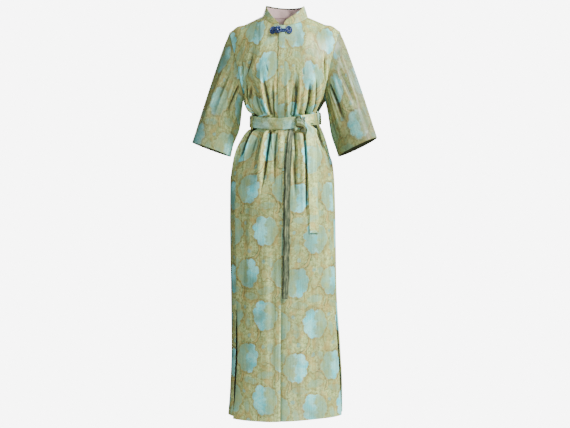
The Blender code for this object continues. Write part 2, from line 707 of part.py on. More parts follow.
def add_neck_lining(name, finish):
    """The lining inside the back neck, hung from the neckline between the shoulder seams."""
    rows = [i / YOKE_ROWS for i in range(LINING_FIRST_ROW, YOKE_ROWS + 1)]
    shares = column_shares(BACK_COLUMNS, BACK_NECK_COLUMNS)[:BACK_NECK_COLUMNS + 1]
    points, normals = both_backs(rows, shares)
    outer = points - (WALL + SEAM_GAP) * normals
    add_shell(name, outer, outer - TRIM_WALL * normals, finish)


def front_at(x, row, stand_off):
    """The point of the fronts' outside at this x and row, moved out by stand_off."""
    side = 1 if x >= 0 else -1
    low, high = 0.0, 1.0
    for _ in range(24):
        u = (low + high) / 2
        if abs(panel_point(-1, side, u, row)[0]) < abs(x):
            low = u
        else:
            high = u
    return panel_point(-1, side, u, row) + panel_normal(-1, side, u, row) * stand_off


def skirt_at(x, z, stand_off):
    """The point of the skirt's smooth body at this x and z, moved out past its ridges by stand_off."""
    side = 1 if x >= 0 else -1
    low, high = 0.0, 90.0
    for _ in range(24):
        angle = (low + high) / 2
        if section_point(side * angle, z)[0] * side < abs(x):
            low = angle
        else:
            high = angle
    angle *= side
    around = section_point(angle + 1.0, z) - section_point(angle - 1.0, z)
    out = unit(np.cross(around, UP))
    return section_point(angle, z) + out * (max(fold_depth(angle, z), 0.0) + stand_off)


def add_lap_band(name, finish):
    """The band sewn down the edge of the wearer's right front, which laps over the left."""
    rows = [row for row in body_rows() if row > LAP_END_Z + 0.02]
    rows = [LAP_END_Z] + rows[:-1] + [LAP_TOP_ROW]
    stations = [LAP_OUTER_X + (LAP_EDGE_X - LAP_OUTER_X) * j / LAP_STEPS for j in range(LAP_STEPS + 1)]
    under = np.array([[front_at(x, row, LAP_CLEAR) for x in stations] for row in rows])
    normals = grid_normals(under)
    add_shell(name, under + TRIM_WALL * normals, under, finish)


def belt_point(angle, height, stand_off):
    """A point over the smooth waist, height above the belt's middle."""
    z = WAIST_Z + belt_shift(angle) + height
    bare = section_point(angle, z)
    around = section_point(angle + 1.0, z) - section_point(angle - 1.0, z)
    return bare + unit(np.cross(around, UP)) * stand_off


def add_belt_band(name, finish):
    """The belt round the waist. It is one closed loop, and the knot sits on it."""
    angles = [360.0 * i / BELT_ANGLES for i in range(BELT_ANGLES)]
    heights = (-BELT_HALF, 0.0, BELT_HALF)
    under = np.array([[belt_point(a, h, BELT_CLEAR) for a in angles] for h in heights])
    over = np.array([[belt_point(a, h, BELT_CLEAR + BELT_WALL) for a in angles] for h in heights])
    add_shell(name, over, under, finish, tube=True)


def add_belt_loop(name, side, finish):
    """A flat loop on a side seam, which stands out over the belt and comes back to the cloth."""
    seam = side * seam_angle(side, WAIST_Z)
    over_belt = BELT_CLEAR + BELT_WALL + SEAM_GAP
    half_turn = math.degrees(LOOP_HALF_WIDTH / WAIST_RADIUS)
    bend = BELT_HALF + LOOP_RISE
    profile = ((-LOOP_HALF_HEIGHT, LOOP_END_OFF), (-bend, over_belt), (0.0, over_belt),
               (bend, over_belt), (LOOP_HALF_HEIGHT, LOOP_END_OFF))
    angles = [seam + half_turn * (step / 1.5 - 1.0) for step in range(4)]
    under = np.array([[belt_point(a, h, off) for a in angles] for h, off in profile])
    normals = grid_normals(under)
    add_shell(name, under + TRIM_WALL * normals, under, finish)


def add_tail(name, table, across, wall, finish):
    """A hanging end of the belt, over the skirt, whose rows it shares."""
    top = table[0].z
    bottom = table[-1].z
    rows = [bottom] + [row for row in body_rows() if bottom + 0.02 < row < top - 0.01] + [top]
    under = []
    for z in rows:
        left, right, stand_off = (along(table, key, "z", z) for key in ("left", "right", "stand_off"))
        under.append([skirt_at(left + (right - left) * j / across, z, stand_off)
                      for j in range(across + 1)])
    normals = grid_normals(under)
    add_shell(name, under + wall * normals, under, finish)


def add_knot(name, finish):
    """The knot of the belt: a rounded wrap, pinched in the middle, on the belt's outside."""
    angle = math.degrees(math.atan2(KNOT_X, WAIST_DEPTH))
    seat = belt_point(angle, 0.0, BELT_CLEAR + BELT_WALL + SEAM_GAP)
    around = section_point(angle + 1.0, seat[2]) - section_point(angle - 1.0, seat[2])
    right = unit(around)
    out = unit(np.cross(right, UP))
    rings = []
    for i in range(KNOT_LEVELS + 1):
        height = 2.0 * i / KNOT_LEVELS - 1.0
        swell = KNOT_END + (1.0 - KNOT_END) * math.sqrt(max(1.0 - abs(height) ** KNOT_FULLNESS, 0.0))
        ring = []
        for k in range(KNOT_SIDES):
            turn = -2 * math.pi * k / KNOT_SIDES
            wide = abs(math.cos(turn)) ** KNOT_BOXINESS * math.copysign(1, math.cos(turn))
            thick = abs(math.sin(turn)) ** KNOT_BOXINESS * math.copysign(1, math.sin(turn))
            ring.append(seat + right * KNOT_HALF_WIDTH * wide * swell
                        + out * KNOT_HALF_DEPTH * (KNOT_SEAT + thick * swell)
                        + UP * KNOT_HALF_HEIGHT * height)
        rings.append(ring)
    add_loft(name, rings, finish)


def frog_frame(x):
    """Where a frog piece sits on the fronts: its seat, and the directions right, up and out."""
    low, high = YOKE_CALM, 1.0
    for _ in range(20):
        row = (low + high) / 2
        if front_at(x, row, 0.0)[2] < FROG_Z:
            low = row
        else:
            high = row
    seat = front_at(x, row, 0.0)
    out = unit(front_at(x, row, 0.01) - seat)
    right = unit(np.cross(out, UP) * -1.0)
    return seat, right, unit(np.cross(out, right)), out


def turned_rings(x, profile, sides):
    """Rings of a round piece on the fronts, from its seat outwards: (radius, height off the cloth)."""
    seat, right, up, out = frog_frame(x)
    turns = [2 * math.pi * k / sides for k in range(sides)]
    return [[seat + out * height + (right * math.cos(turn) + up * math.sin(turn)) * radius
             for turn in turns] for radius, height in profile]


def add_frog_pad(name, x, finish):
    """A coiled pad of satin cord: a round cushion with one ring groove."""
    profile = [(FROG_PAD_RADIUS * coil.wide, FROG_PAD_SEAT + FROG_PAD_THICK * coil.high)
               for coil in FROG_COILS]
    add_loft(name, turned_rings(x, profile, FROG_PAD_SIDES), finish)


def add_frog_knot(name, x, finish):
    """The knotted button: a ball, a little flattened."""
    tall = FROG_KNOT_RADIUS * FROG_KNOT_SQUASH
    foot = math.sin(math.radians(FROG_KNOT_TILTS[0]))
    profile = [(FROG_KNOT_RADIUS * math.cos(math.radians(tilt)),
                FROG_KNOT_SEAT + tall * (math.sin(math.radians(tilt)) - foot)) for tilt in FROG_KNOT_TILTS]
    add_loft(name, turned_rings(x, profile, FROG_KNOT_SIDES), finish)


def clear_scene():
    for old in list(bpy.data.objects):
        bpy.data.objects.remove(old, do_unlink=True)


def build():
    clear_scene()
    brocade = material("brocade", BROCADE, 0.55)
    belt_cloth = material("belt_brocade", BELT_CLOTH, 0.5)
    lining = material("lining", LINING, 0.6)
    satin = material("frog_satin", FROG_SATIN, 0.3)
    add_front("front_right", -1, brocade)
    add_front("front_left", 1, brocade)
    add_back("back", brocade)
    add_lap_band("lap_band", brocade)
    add_sleeve("sleeve_right", -1, brocade)
    add_sleeve("sleeve_left", 1, brocade)
    add_collar("collar", "collar_lining", brocade, lining)
    add_neck_lining("neck_lining", lining)
    add_belt_band("belt_band", belt_cloth)
    add_belt_loop("belt_loop_right", -1, belt_cloth)
    add_belt_loop("belt_loop_left", 1, belt_cloth)
    add_knot("belt_knot", belt_cloth)
    add_tail("belt_tail_wide", WIDE_TAIL, 4, TAIL_WALL, belt_cloth)
    add_tail("belt_tail_narrow", NARROW_TAIL, 3, 2 * TAIL_WALL, belt_cloth)
    add_frog_pad("frog_right", FROG_RIGHT_X, satin)
    add_frog_pad("frog_left", FROG_LEFT_X, satin)
    add_frog_knot("frog_knot", FROG_KNOT_X, satin)


build()
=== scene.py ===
"""A full-length cheongsam gown: its cloth, trimmings, materials, light and view.

Metres, +Z up. The gown faces -Y, and +X is its wearer's left. Round the body an angle of 0 is centre
front, 90 the wearer's left side and 180 centre back.
"""

import math
from collections import namedtuple
from functools import reduce

import bmesh
import bpy
import numpy as np
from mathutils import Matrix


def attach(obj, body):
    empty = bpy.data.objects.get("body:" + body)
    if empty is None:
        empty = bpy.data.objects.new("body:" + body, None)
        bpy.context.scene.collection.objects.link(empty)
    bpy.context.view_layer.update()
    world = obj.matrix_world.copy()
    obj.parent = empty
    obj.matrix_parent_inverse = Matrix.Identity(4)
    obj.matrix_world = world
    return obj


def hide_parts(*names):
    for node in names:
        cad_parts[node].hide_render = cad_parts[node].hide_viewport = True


def named_rows(fields, *rows):
    """A table of numbers whose columns have these names."""
    row_kind = namedtuple("Row", fields)
    return tuple(row_kind(*row) for row in rows)


# --- the gown's form, the same as its solids' ------------------------------------------------------
HEM_Z = -1.397
SLIT_TOP_Z = -1.010
UNDERARM_Z = -0.290
WAIST_Z = -0.3605       # middle of the belt at the side seams
WAIST_DIP = 0.020       # how much lower the belt sits at centre front
WAIST_FALL = 1.5
WAIST_TILT = 0.0045     # and how much higher at the wearer's left than at the middle
WAIST_SHIFT_REACH = 0.15    # how far above and below the belt the body follows its dip and tilt
BELT_HALF = 0.020
HEM_TILT = 0.006
HEM_SIDE_RISE = 0.005
HEM_BACK_RISE = 0.009
HEM_LIFT_BELOW = 0.04   # the hem's lift starts this far below the slits' top, and is full this much lower
HEM_LIFT_REACH = 0.3
SQUARENESS = 2.12       # exponent of the body's oval sections
NECK_SHARE = 0.44       # share of a half front or back that lies below the neckline
SEAM_GAP = 0.0003
ARMHOLE_GAP = 0.0006
YOKE_STEPS = 10

SECTIONS = named_rows(
    "z right left front back seam_right seam_left",
    (-1.397, 0.2, 0.2005, 0.12, 0.128, 71, 85),
    (-1.3, 0.193, 0.2, 0.119, 0.127, 71, 84),
    (-1.16, 0.188, 0.1935, 0.117, 0.125, 70, 83),
    (-0.956, 0.19, 0.1805, 0.115, 0.123, 70, 82),
    (-0.71, 0.1935, 0.1765, 0.114, 0.121, 70, 80),
    (-0.58, 0.1925, 0.173, 0.113, 0.119, 70, 78),
    (-0.52, 0.185, 0.1675, 0.111, 0.113, 70, 77),
    (-0.47, 0.171, 0.1545, 0.108, 0.105, 70, 76),
    (-0.412, 0.142, 0.135, 0.101, 0.091, 69, 74),
    (-0.395, 0.129, 0.1275, 0.097, 0.085, 68, 73),
    (-0.382, 0.1185, 0.121, 0.093, 0.081, 67, 72),
    (-0.338, 0.117, 0.1205, 0.093, 0.081, 67, 72),
    (-0.318, 0.131, 0.1305, 0.102, 0.09, 73, 76),
    (-0.29, 0.144, 0.1455, 0.111, 0.099, 84, 84),
    (-0.24, 0.15, 0.156, 0.117, 0.104, 88, 88),
)

# A fold leaves the belt at belt_angle and dies out at end_angle, reach metres above (+) or below (-)
# the belt's middle. Depth is + for a ridge and - for a trough.
FOLDS = named_rows(
    "belt_angle end_angle reach half_width depth",
    (-62, -78, 0.135, 0.017, -0.0101),
    (-27, -43, 0.17, 0.014, 0.0101),
    (-47, -58, 0.11, 0.016, 0.0051),
    (-19, -14, 0.13, 0.013, -0.0058),
    (12, 9, 0.09, 0.014, 0.0051),
    (22, 27, 0.14, 0.014, -0.0072),
    (35, 38, 0.13, 0.013, 0.0058),
    (49, 51, 0.12, 0.014, -0.0087),
    (60, 58, 0.12, 0.012, 0.0058),
    (74, 86, 0.12, 0.016, -0.0087),
    (-62, -72, -0.14, 0.014, -0.0116),
    (-30, -41, -0.26, 0.014, 0.0087),
    (-20, -27, -0.11, 0.014, -0.0072),
    (-4, -3, -0.12, 0.014, 0.0043),
    (25, 23, -0.14, 0.018, -0.0043),
    (66, 74, -0.11, 0.013, -0.0101),
    (100, 98, 0.11, 0.017, -0.0087),
    (122, 126, 0.15, 0.018, 0.0072),
    (143, 141, 0.13, 0.018, -0.0087),
    (165, 167, 0.12, 0.017, 0.0065),
    (188, 184, 0.14, 0.018, -0.008),
    (210, 212, 0.12, 0.017, 0.0072),
    (231, 227, 0.14, 0.018, -0.0087),
    (256, 259, 0.11, 0.017, 0.0065),
    (98, 93, -0.15, 0.017, -0.0087),
    (120, 117, -0.24, 0.017, 0.0072),
    (141, 143, -0.17, 0.018, -0.008),
    (163, 161, -0.26, 0.018, 0.0072),
    (186, 188, -0.18, 0.018, -0.0087),
    (209, 212, -0.25, 0.018, 0.0072),
    (232, 236, -0.16, 0.018, -0.0087),
    (255, 262, -0.22, 0.017, 0.0065),
)
FOLD_ARC = 0.002        # metres of cloth to a degree, where the folds are
FOLD_FADE = 1.6         # how late along its reach a fold dies out
FOLD_SPREAD = 0.7       # how much wider it is by then
TROUGH_START = 0.1      # where a fold begins, in half widths of the belt from its middle
RIDGE_START = 1.1

# Broad swells (+) and hollows (-) of the cloth.
RISES = named_rows(
    "angle z half_angle half_height depth",
    (-36, -0.235, 30, 0.085, 0.007),
    (36, -0.235, 30, 0.085, 0.007),
    (142, -0.14, 30, 0.11, 0.005),
    (-142, -0.14, 30, 0.11, 0.005),
    (-58, -0.85, 16, 0.42, -0.0045),
    (48, -1.25, 18, 0.42, -0.0035),
    (-22, -1.28, 18, 0.38, 0.003),
    (150, -1.15, 18, 0.5, -0.005),
    (-152, -1.18, 18, 0.48, -0.005),
    (180, -1.12, 16, 0.48, 0.0045),
)

# neck and shoulders
NECK_HALF = 0.080
NECK_FRONT = 0.072
NECK_BACK = 0.062
NECK_FRONT_Z = -0.039
NECK_BACK_Z = 0.004
NECK_TILT = 0.003
NECK_FALL = 1.3
SHOULDER_TIP = {-1: (0.1965, 0.004, -0.0520), 1: (0.1920, 0.004, -0.0525)}
# How the yoke leaves the underarm's level (y, z) and arrives at its top edge (x, y, z), by face: at the
# centre line, at the shoulder's root and at the armhole.
YOKE_LIFT = {
    -1: ((-0.02, 0.25, 0, 0.07, 0.23), (-0.05, 0.3, 0, 0.2, 0.04), (-0.24, 0.13, 0.06, 0.14, 0.2)),
    1: ((0.04, 0.28, 0, -0.09, 0.2), (0.06, 0.3, 0, -0.2, 0.04), (0.24, 0.13, 0.06, -0.14, 0.2)),
}
ARMHOLE_EASE = 2.2
FLARE_X = 0.25
FLARE_Y = 0.06
FLARE_STEP = 0.01
ARMHOLE_HOLD = 4
OVAL_TURN = 1.6
YOKE_CALM = 0.5
CORNER_EASE = 0.26       # how far lower rows round off the corner between neckline and shoulder
SHOULDER_CROWN = 0.0065  # how far the shoulder seam bows up before it meets the sleeve
CROWN_SHARE = 0.86
CROWN_ROW = 0.6

# collar
COLLAR_TOP_HALF = 0.0670
COLLAR_TOP_FRONT = 0.0600
COLLAR_TOP_BACK = 0.0550
COLLAR_HEIGHT = 0.0415
COLLAR_BACK_HEIGHT = 0.0350
COLLAR_CURVE_ANGLE = 88.0
COLLAR_END_SHARE = 0.14
COLLAR_FIRST_ANGLE = 12.0

# sleeves, by side: the cuff's outer and inner ends, seen from the front, as (distance out, z)
CUFF = {-1: ((0.3240, -0.4400), (0.1890, -0.4890)), 1: ((0.3215, -0.4260), (0.1870, -0.4900))}
CUFF_Y = -0.022
CUFF_HALF_DEPTH = 0.060
CUFF_TILT = 0.060
SLEEVE_SET = 0.125
SLEEVE_ROUNDING = 0.006
SLEEVE_HANG = {-1: (0.42, 0.0135), 1: (0.56, 0.0085)}   # share of its length where it hangs out, how far
HANG_HALF_TURN = 0.16
HANG_HALF_ALONG = 0.44
SLEEVE_FOLDS = named_rows(
    "turn along half_turn half_along depth",
    (0.1, 0.16, 0.09, 0.2, -0.007),
    (0.22, 0.42, 0.08, 0.34, -0.004),
    (0.36, 0.62, 0.1, 0.3, 0.003),
    (0.88, 0.2, 0.09, 0.22, -0.006),
    (0.74, 0.5, 0.09, 0.34, -0.004),
)

# How far each face is drawn in from the side seam at a slit, by share of the way down it.
SLIT_GAPE = named_rows(
    "share front back",
    (0, 0, 0),
    (0.1, 0.004, 0.001),
    (0.3, 0.0065, 0.003),
    (0.7, 0.0062, 0.005),
    (0.9, 0.0022, 0.0018),
    (0.95, 0.0002, 0.0002),
    (1, 0, 0),
)
LEFT_SLIT_GAPE = 1.7     # how much more the left front's edge is drawn in than the right's

UP = np.array((0.0, 0.0, 1.0))

# Fine creases of the body. Each leaves (a0, z0) and dies out at (a1, z1), bowed sideways by bow degrees.
# left and right are how far its two flanks reach, start and fade the shares of its length over which it
# comes and goes, and spread is how much wider it ends.
Crease = namedtuple("Crease", "a0 z0 a1 z1 bow left right depth start fade spread")


def creases(*rows):
    """Rows of creases. Their flanks and depth are written in millimetres."""
    return tuple(Crease(*row[:5], *(length / 1000 for length in row[5:8]), *row[8:]) for row in rows)


CREASES = creases(
    # bodice front
    (-26.6, -0.352, -34, -0.185, -0.8, 11, 4.5, 7.6, 0.04, 0.55, 0.6),
    (-22.4, -0.352, -29.6, -0.205, -0.8, 5.5, 13, -6.4, 0.04, 0.6, 0.6),
    (-67, -0.345, -63, -0.22, 1, 8.5, 9, -7, 0.04, 0.65, 0.5),
    (-73.5, -0.34, -70, -0.232, 0.5, 9, 5, 6.3, 0.05, 0.6, 0.5),
    (-57.5, -0.348, -59, -0.235, 0, 4.5, 12, 6.3, 0.05, 0.6, 0.5),
    (-43.6, -0.352, -44.5, -0.243, -1, 9.5, 8, -4.6, 0.05, 0.6, 0.5),
    (-36.5, -0.352, -40, -0.27, 0, 7, 7, -1.8, 0.05, 0.6, 0.5),
    (-14.7, -0.357, -11.2, -0.2, 0.6, 6, 5, 3.9, 0.05, 0.6, 0.5),
    (-18.9, -0.357, -15.6, -0.212, 0.6, 7.5, 7.5, -3.4, 0.05, 0.6, 0.5),
    (10.6, -0.357, 7.2, -0.188, -0.6, 7.5, 6, 4.2, 0.05, 0.55, 0.4),
    (16.8, -0.355, 19.6, -0.204, 0.5, 9.5, 7, -6.6, 0.05, 0.6, 0.3),
    (23.6, -0.352, 21.8, -0.188, -0.5, 5, 4.5, -5.6, 0.05, 0.55, 0.3),
    (27.4, -0.352, 26.8, -0.198, 0.6, 5, 12, 7.3, 0.05, 0.6, 0.5),
    (39.5, -0.35, 34, -0.246, 0, 11, 7, 5.3, 0.05, 0.6, 0.4),
    (48.5, -0.348, 41.5, -0.228, 0.6, 8, 8.5, -12.8, 0.05, 0.6, 0.4),
    (56, -0.346, 47.5, -0.196, -0.6, 10, 4.2, 7, 0.05, 0.55, 0.5),
    (61.5, -0.346, 51.5, -0.215, -0.4, 3.8, 3.8, -6.8, 0.05, 0.6, 0.3),
    (66.5, -0.344, 57.5, -0.203, -0.4, 4.5, 10, 6.2, 0.05, 0.6, 0.5),
    (74.5, -0.336, 81, -0.222, 1.5, 9, 12, -7, 0.05, 0.6, 0.5),
    # the crests and the sharp folds beside them that catch the light
    (-26.9, -0.352, -34.4, -0.186, -0.6, 4, 3, 3.4, 0.03, 0.45, 0.2),
    (-24.4, -0.352, -32.2, -0.2, -0.6, 3, 6.5, -3.4, 0.03, 0.55, 0.2),
    (27.6, -0.352, 27, -0.196, 0.6, 3, 4, 3, 0.03, 0.45, 0.2),
    (24.8, -0.352, 24.4, -0.18, 0.5, 6, 3, -3.6, 0.03, 0.55, 0.2),
    (57.6, -0.348, 49.6, -0.196, -0.5, 3.2, 3, 3.2, 0.03, 0.5, 0.2),
    (10.9, -0.357, 9.6, -0.236, 0, 3, 3, 2.6, 0.03, 0.5, 0.2),
    (-30.2, -0.4, -39.6, -0.65, 3, 4.2, 3, 3.6, 0.03, 0.55, 0.3),
    (-27.6, -0.4, -37, -0.64, 3, 2.8, 6, -7, 0.03, 0.6, 0.3),
    (-58, -0.396, -60.5, -0.56, 0, 3.4, 4, 3, 0.04, 0.55, 0.3),
    (-43.5, -0.402, -46, -0.56, 0, 3.4, 3.4, -4, 0.06, 0.6, 0.3),
    # yoke front: short darts of slack and the soft pulls towards the armholes
    (20.6, -0.212, 19.6, -0.164, 0, 3.5, 3.5, -3.2, 0.3, 0.6, 0),
    (-21.6, -0.212, -27, -0.166, 0, 4, 4, -3.6, 0.3, 0.6, 0),
    (33, -0.225, 31, -0.176, 0, 4.5, 4.5, -3.2, 0.3, 0.6, 0),
    (-55, -0.218, -33, -0.104, 4, 20, 15, 4.8, 0.3, 0.6, 0.2),
    (-66, -0.226, -47, -0.098, 4, 12, 12, -6, 0.3, 0.6, 0.2),
    (-78, -0.256, -70, -0.142, 3, 10, 8, -12, 0.25, 0.6, 0.2),
    (60, -0.222, 48, -0.118, -3, 16, 18, 3.6, 0.3, 0.6, 0.2),
    (76, -0.246, 68, -0.128, -3, 9, 10, -13, 0.25, 0.6, 0.2),
    (8, -0.18, 30, -0.128, 3, 9, 9, 1.7, 0.35, 0.5, 0.2),
    # skirt front
    (-66.8, -0.386, -69.8, -0.535, 1, 11, 8, -7, 0.03, 0.6, 0.4),
    (-75.5, -0.39, -80.5, -0.56, 0, 13, 5.5, 7, 0.05, 0.65, 0.6),
    (-59, -0.396, -59.5, -0.57, 1, 5, 15, 6.4, 0.05, 0.65, 0.6),
    (-47, -0.4, -51.5, -0.52, 0, 9, 9, -4.4, 0.05, 0.6, 0.4),
    (-32.6, -0.402, -38.6, -0.65, 0.8, 15, 5, 8.1, 0.03, 0.7, 0.9),
    (-27.6, -0.402, -33.4, -0.612, 0.8, 4.5, 13, -11.6, 0.03, 0.7, 0.6),
    (-24.6, -0.42, -16.4, -0.502, 0, 4, 4.5, -5.2, 0.2, 0.6, 0),
    (-20.5, -0.404, -20, -0.51, 0, 7, 6, 4.5, 0.08, 0.6, 0.3),
    (-12, -0.404, -13.5, -0.64, -1, 10, 8, -5.2, 0.06, 0.6, 0.4),
    (12.5, -0.412, 24, -0.7, 2, 9, 13, -6, 0.1, 0.6, 0.4),
    (23, -0.404, 22, -0.64, 1, 14, 10, -8.8, 0.05, 0.6, 0.5),
    (33, -0.402, 34, -0.76, 1, 11, 12, 4.8, 0.06, 0.6, 0.5),
    (41, -0.4, 39, -0.76, -1, 8, 7, -6.8, 0.06, 0.6, 0.3),
    (68, -0.376, 73, -0.494, 0.4, 7.5, 11, -7, 0.03, 0.45, 1),
    (75, -0.38, 80, -0.52, 0, 5, 13, 6.4, 0.05, 0.65, 0.5),
    (61.5, -0.384, 62.5, -0.52, 0, 12, 5, 4.8, 0.05, 0.65, 0.5),
    (-46.5, -0.6, -58.5, -1.13, -2, 13, 22, 3, 0.25, 0.5, 0.3),
    (-52, -0.7, -64, -1.25, -1, 14, 13, -2.4, 0.3, 0.5, 0.3),
    (-26, -0.68, -30, -1.25, 1.5, 30, 22, 3, 0.3, 0.4, 0.3),
    (-15, -0.76, -17, -1.385, 0, 24, 18, -2.6, 0.3, 0.2, 0.2),
    (29, -0.8, 31, -1.39, 1, 24, 24, 3, 0.35, 0.15, 0.2),
    (47, -0.76, 52, -1.38, -1, 20, 17, -3, 0.35, 0.2, 0.2),
    (63, -0.56, 66, -1.1, 1, 15, 18, 2.4, 0.3, 0.45, 0.2),
    (-70, -0.56, -66, -1, 0, 14, 11, 2.4, 0.3, 0.45, 0.2),
    (1.7, -0.56, -1.1, -1.43, 0, 3.4, 22, -2.6, 0.15, 0.02, 0),
    # bodice back
    (97, -0.34, 99, -0.232, 0.5, 8, 7, -13.2, 0.05, 0.6, 0.5),
    (106, -0.34, 110, -0.226, 0.5, 6, 11, 6.2, 0.05, 0.6, 0.5),
    (116.5, -0.34, 114, -0.252, 0, 6, 6, -7.2, 0.05, 0.6, 0.4),
    (123, -0.34, 127, -0.196, 1, 12, 5, 6.7, 0.05, 0.6, 0.5),
    (131, -0.34, 134.5, -0.214, 1, 5, 8, -8.8, 0.05, 0.6, 0.4),
    (143.5, -0.34, 140, -0.232, 0, 7, 8, -11.2, 0.05, 0.6, 0.4),
    (152, -0.34, 155, -0.22, 0, 10, 8, 4.8, 0.05, 0.6, 0.4),
    (163, -0.34, 166, -0.186, -1, 5, 10, 6.4, 0.05, 0.6, 0.5),
    (173, -0.34, 170, -0.24, 0, 6.5, 6, -6.8, 0.05, 0.6, 0.4),
    (187.5, -0.34, 184, -0.206, 1, 8, 6, -11.6, 0.05, 0.6, 0.4),
    (197, -0.34, 196, -0.218, 0, 6, 11, 5, 0.05, 0.6, 0.5),
    (210.5, -0.34, 213, -0.2, 1, 13, 5, 7, 0.05, 0.6, 0.5),
    (217.5, -0.34, 221, -0.226, 0, 5, 7, -8, 0.05, 0.6, 0.4),
    (231.5, -0.34, 227, -0.196, -1, 8, 7, -12.4, 0.05, 0.6, 0.5),
    (243, -0.34, 240, -0.236, 0, 9, 7, 5, 0.05, 0.6, 0.5),
    (256.5, -0.34, 260, -0.222, 0, 6, 11, 6.7, 0.05, 0.6, 0.5),
    (266, -0.338, 262, -0.236, 0, 6, 6, -8.8, 0.05, 0.6, 0.4),
    (112, -0.222, 128, -0.104, -3, 16, 18, 3.9, 0.3, 0.6, 0.2),
    (101, -0.236, 112, -0.126, -2, 10, 10, -6.4, 0.25, 0.6, 0.2),
    (247, -0.22, 232, -0.11, 3, 18, 15, 3.9, 0.3, 0.6, 0.2),
    (259, -0.238, 248, -0.132, 2, 10, 10, -6.4, 0.25, 0.6, 0.2),
    # skirt back
    (97.5, -0.382, 94, -0.51, 0, 7, 6.5, -16, 0.04, 0.65, 0.4),
    (108, -0.382, 106, -0.54, 0, 12, 6, 5.9, 0.05, 0.65, 0.5),
    (119.5, -0.382, 117, -0.62, 1, 6, 13, 7, 0.04, 0.65, 0.7),
    (129, -0.382, 131, -0.52, 0, 7, 7, -7.2, 0.05, 0.6, 0.4),
    (140.5, -0.382, 143.5, -0.56, -1, 7, 9, -12.4, 0.04, 0.65, 0.5),
    (152, -0.382, 151, -0.53, 0, 10, 7, 4.8, 0.05, 0.6, 0.5),
    (163, -0.382, 160.5, -0.64, 1, 14, 5.5, 7.3, 0.04, 0.65, 0.7),
    (175, -0.382, 177, -0.51, 0, 6, 6, -6.4, 0.05, 0.6, 0.4),
    (186.5, -0.382, 188.5, -0.57, 0, 8, 7, -12.4, 0.04, 0.65, 0.5),
    (197.5, -0.382, 199, -0.54, 0, 6, 11, 5.3, 0.05, 0.6, 0.5),
    (209, -0.382, 212.5, -0.64, -1, 5.5, 14, 7.3, 0.04, 0.65, 0.7),
    (221, -0.382, 219, -0.51, 0, 6, 7, -6.8, 0.05, 0.6, 0.4),
    (232, -0.382, 236, -0.56, 1, 8, 7, -12.8, 0.04, 0.65, 0.5),
    (244, -0.382, 247, -0.53, 0, 11, 7, 5.6, 0.05, 0.6, 0.5),
    (255, -0.384, 262, -0.6, 1, 6, 13, 6.4, 0.05, 0.65, 0.6),
    (266, -0.388, 272, -0.5, 0, 6, 6, -10, 0.05, 0.6, 0.4),
    (126, -0.64, 122, -1.2, 1, 22, 16, 2.8, 0.3, 0.45, 0.3),
    (137, -0.7, 139, -1.375, -1, 18, 18, -2.6, 0.3, 0.2, 0.2),
    (168, -0.66, 166, -1.375, 1, 24, 18, 2.8, 0.3, 0.2, 0.2),
    (194, -0.7, 198, -1.375, -1, 18, 22, 2.6, 0.3, 0.2, 0.2),
    (222, -0.64, 226, -1.25, 1, 16, 24, 2.8, 0.3, 0.4, 0.3),
    (241, -0.76, 246, -1.37, 0, 16, 14, -2.4, 0.3, 0.2, 0.2),
    (103, -0.62, 104, -1.1, 0, 14, 16, 2.2, 0.3, 0.45, 0.2),
)
# Painted shade in the tucks where the cloth shuts on itself and hardly any light gets in (depth below 0),
# and painted highlights along the crests of its sharpest folds. They only colour the cloth, on the fronts
# and where the back wraps round to meet them.
PAINTED_SHADE_AND_HIGHLIGHT = creases(
    (-66.9, -0.384, -69.6, -0.5, 0.4, 10.5, 10, -8.4, 0.01, 0.6, -0.3),
    (68, -0.372, 72.6, -0.47, 0.8, 8, 11, -8, 0.01, 0.55, -0.2),
    (-67.6, -0.35, -63, -0.222, 0, 6, 6.5, -3, 0.02, 0.6, -0.3),
    (-65.5, -0.354, -50, -0.236, 0, 7, 8, -5.2, 0.01, 0.5, 0.7),
    (-84, -0.336, -83, -0.226, 0, 8, 15, -4, 0.1, 0.4, 0),
    (80, -0.345, 88, -0.222, 0, 23, 16, -8, 0.05, 0.15, 0.2),
    (70, -0.33, 82, -0.226, 0, 11, 11, -4.6, 0.3, 0.4, 0.4),
    (48.5, -0.35, 42.5, -0.24, 0.6, 7, 6, -3, 0.02, 0.6, -0.3),
    (-24, -0.352, -31, -0.255, -0.6, 3, 6, -1.4, 0.02, 0.8, 0),
    (-27, -0.398, -37.2, -0.6, 3, 2, 8, -4, 0.02, 0.6, 0),
    (-26.9, -0.35, -34.6, -0.184, -0.6, 3.4, 2.6, 2.6, 0.02, 0.3, 0),
    (-30.4, -0.398, -39.8, -0.68, 3, 3.6, 2.6, 2.8, 0.02, 0.4, 0),
    (27.6, -0.352, 27, -0.2, 0.6, 2.6, 3.4, 2.2, 0.02, 0.3, 0),
    (57.4, -0.348, 49.6, -0.2, -0.5, 3, 3, 2.4, 0.02, 0.4, 0),
    (63.6, -0.348, 68, -0.214, 0, 3, 3, 2.2, 0.02, 0.4, 0),
    (-1.6, -0.56, -3.9, -1.43, 0, 6, 5, 0.4, 0.15, 0.02, 0),
    (2.2, -0.56, -0.6, -1.43, 0, 4.6, 18, -0.9, 0.15, 0.02, 0),
)
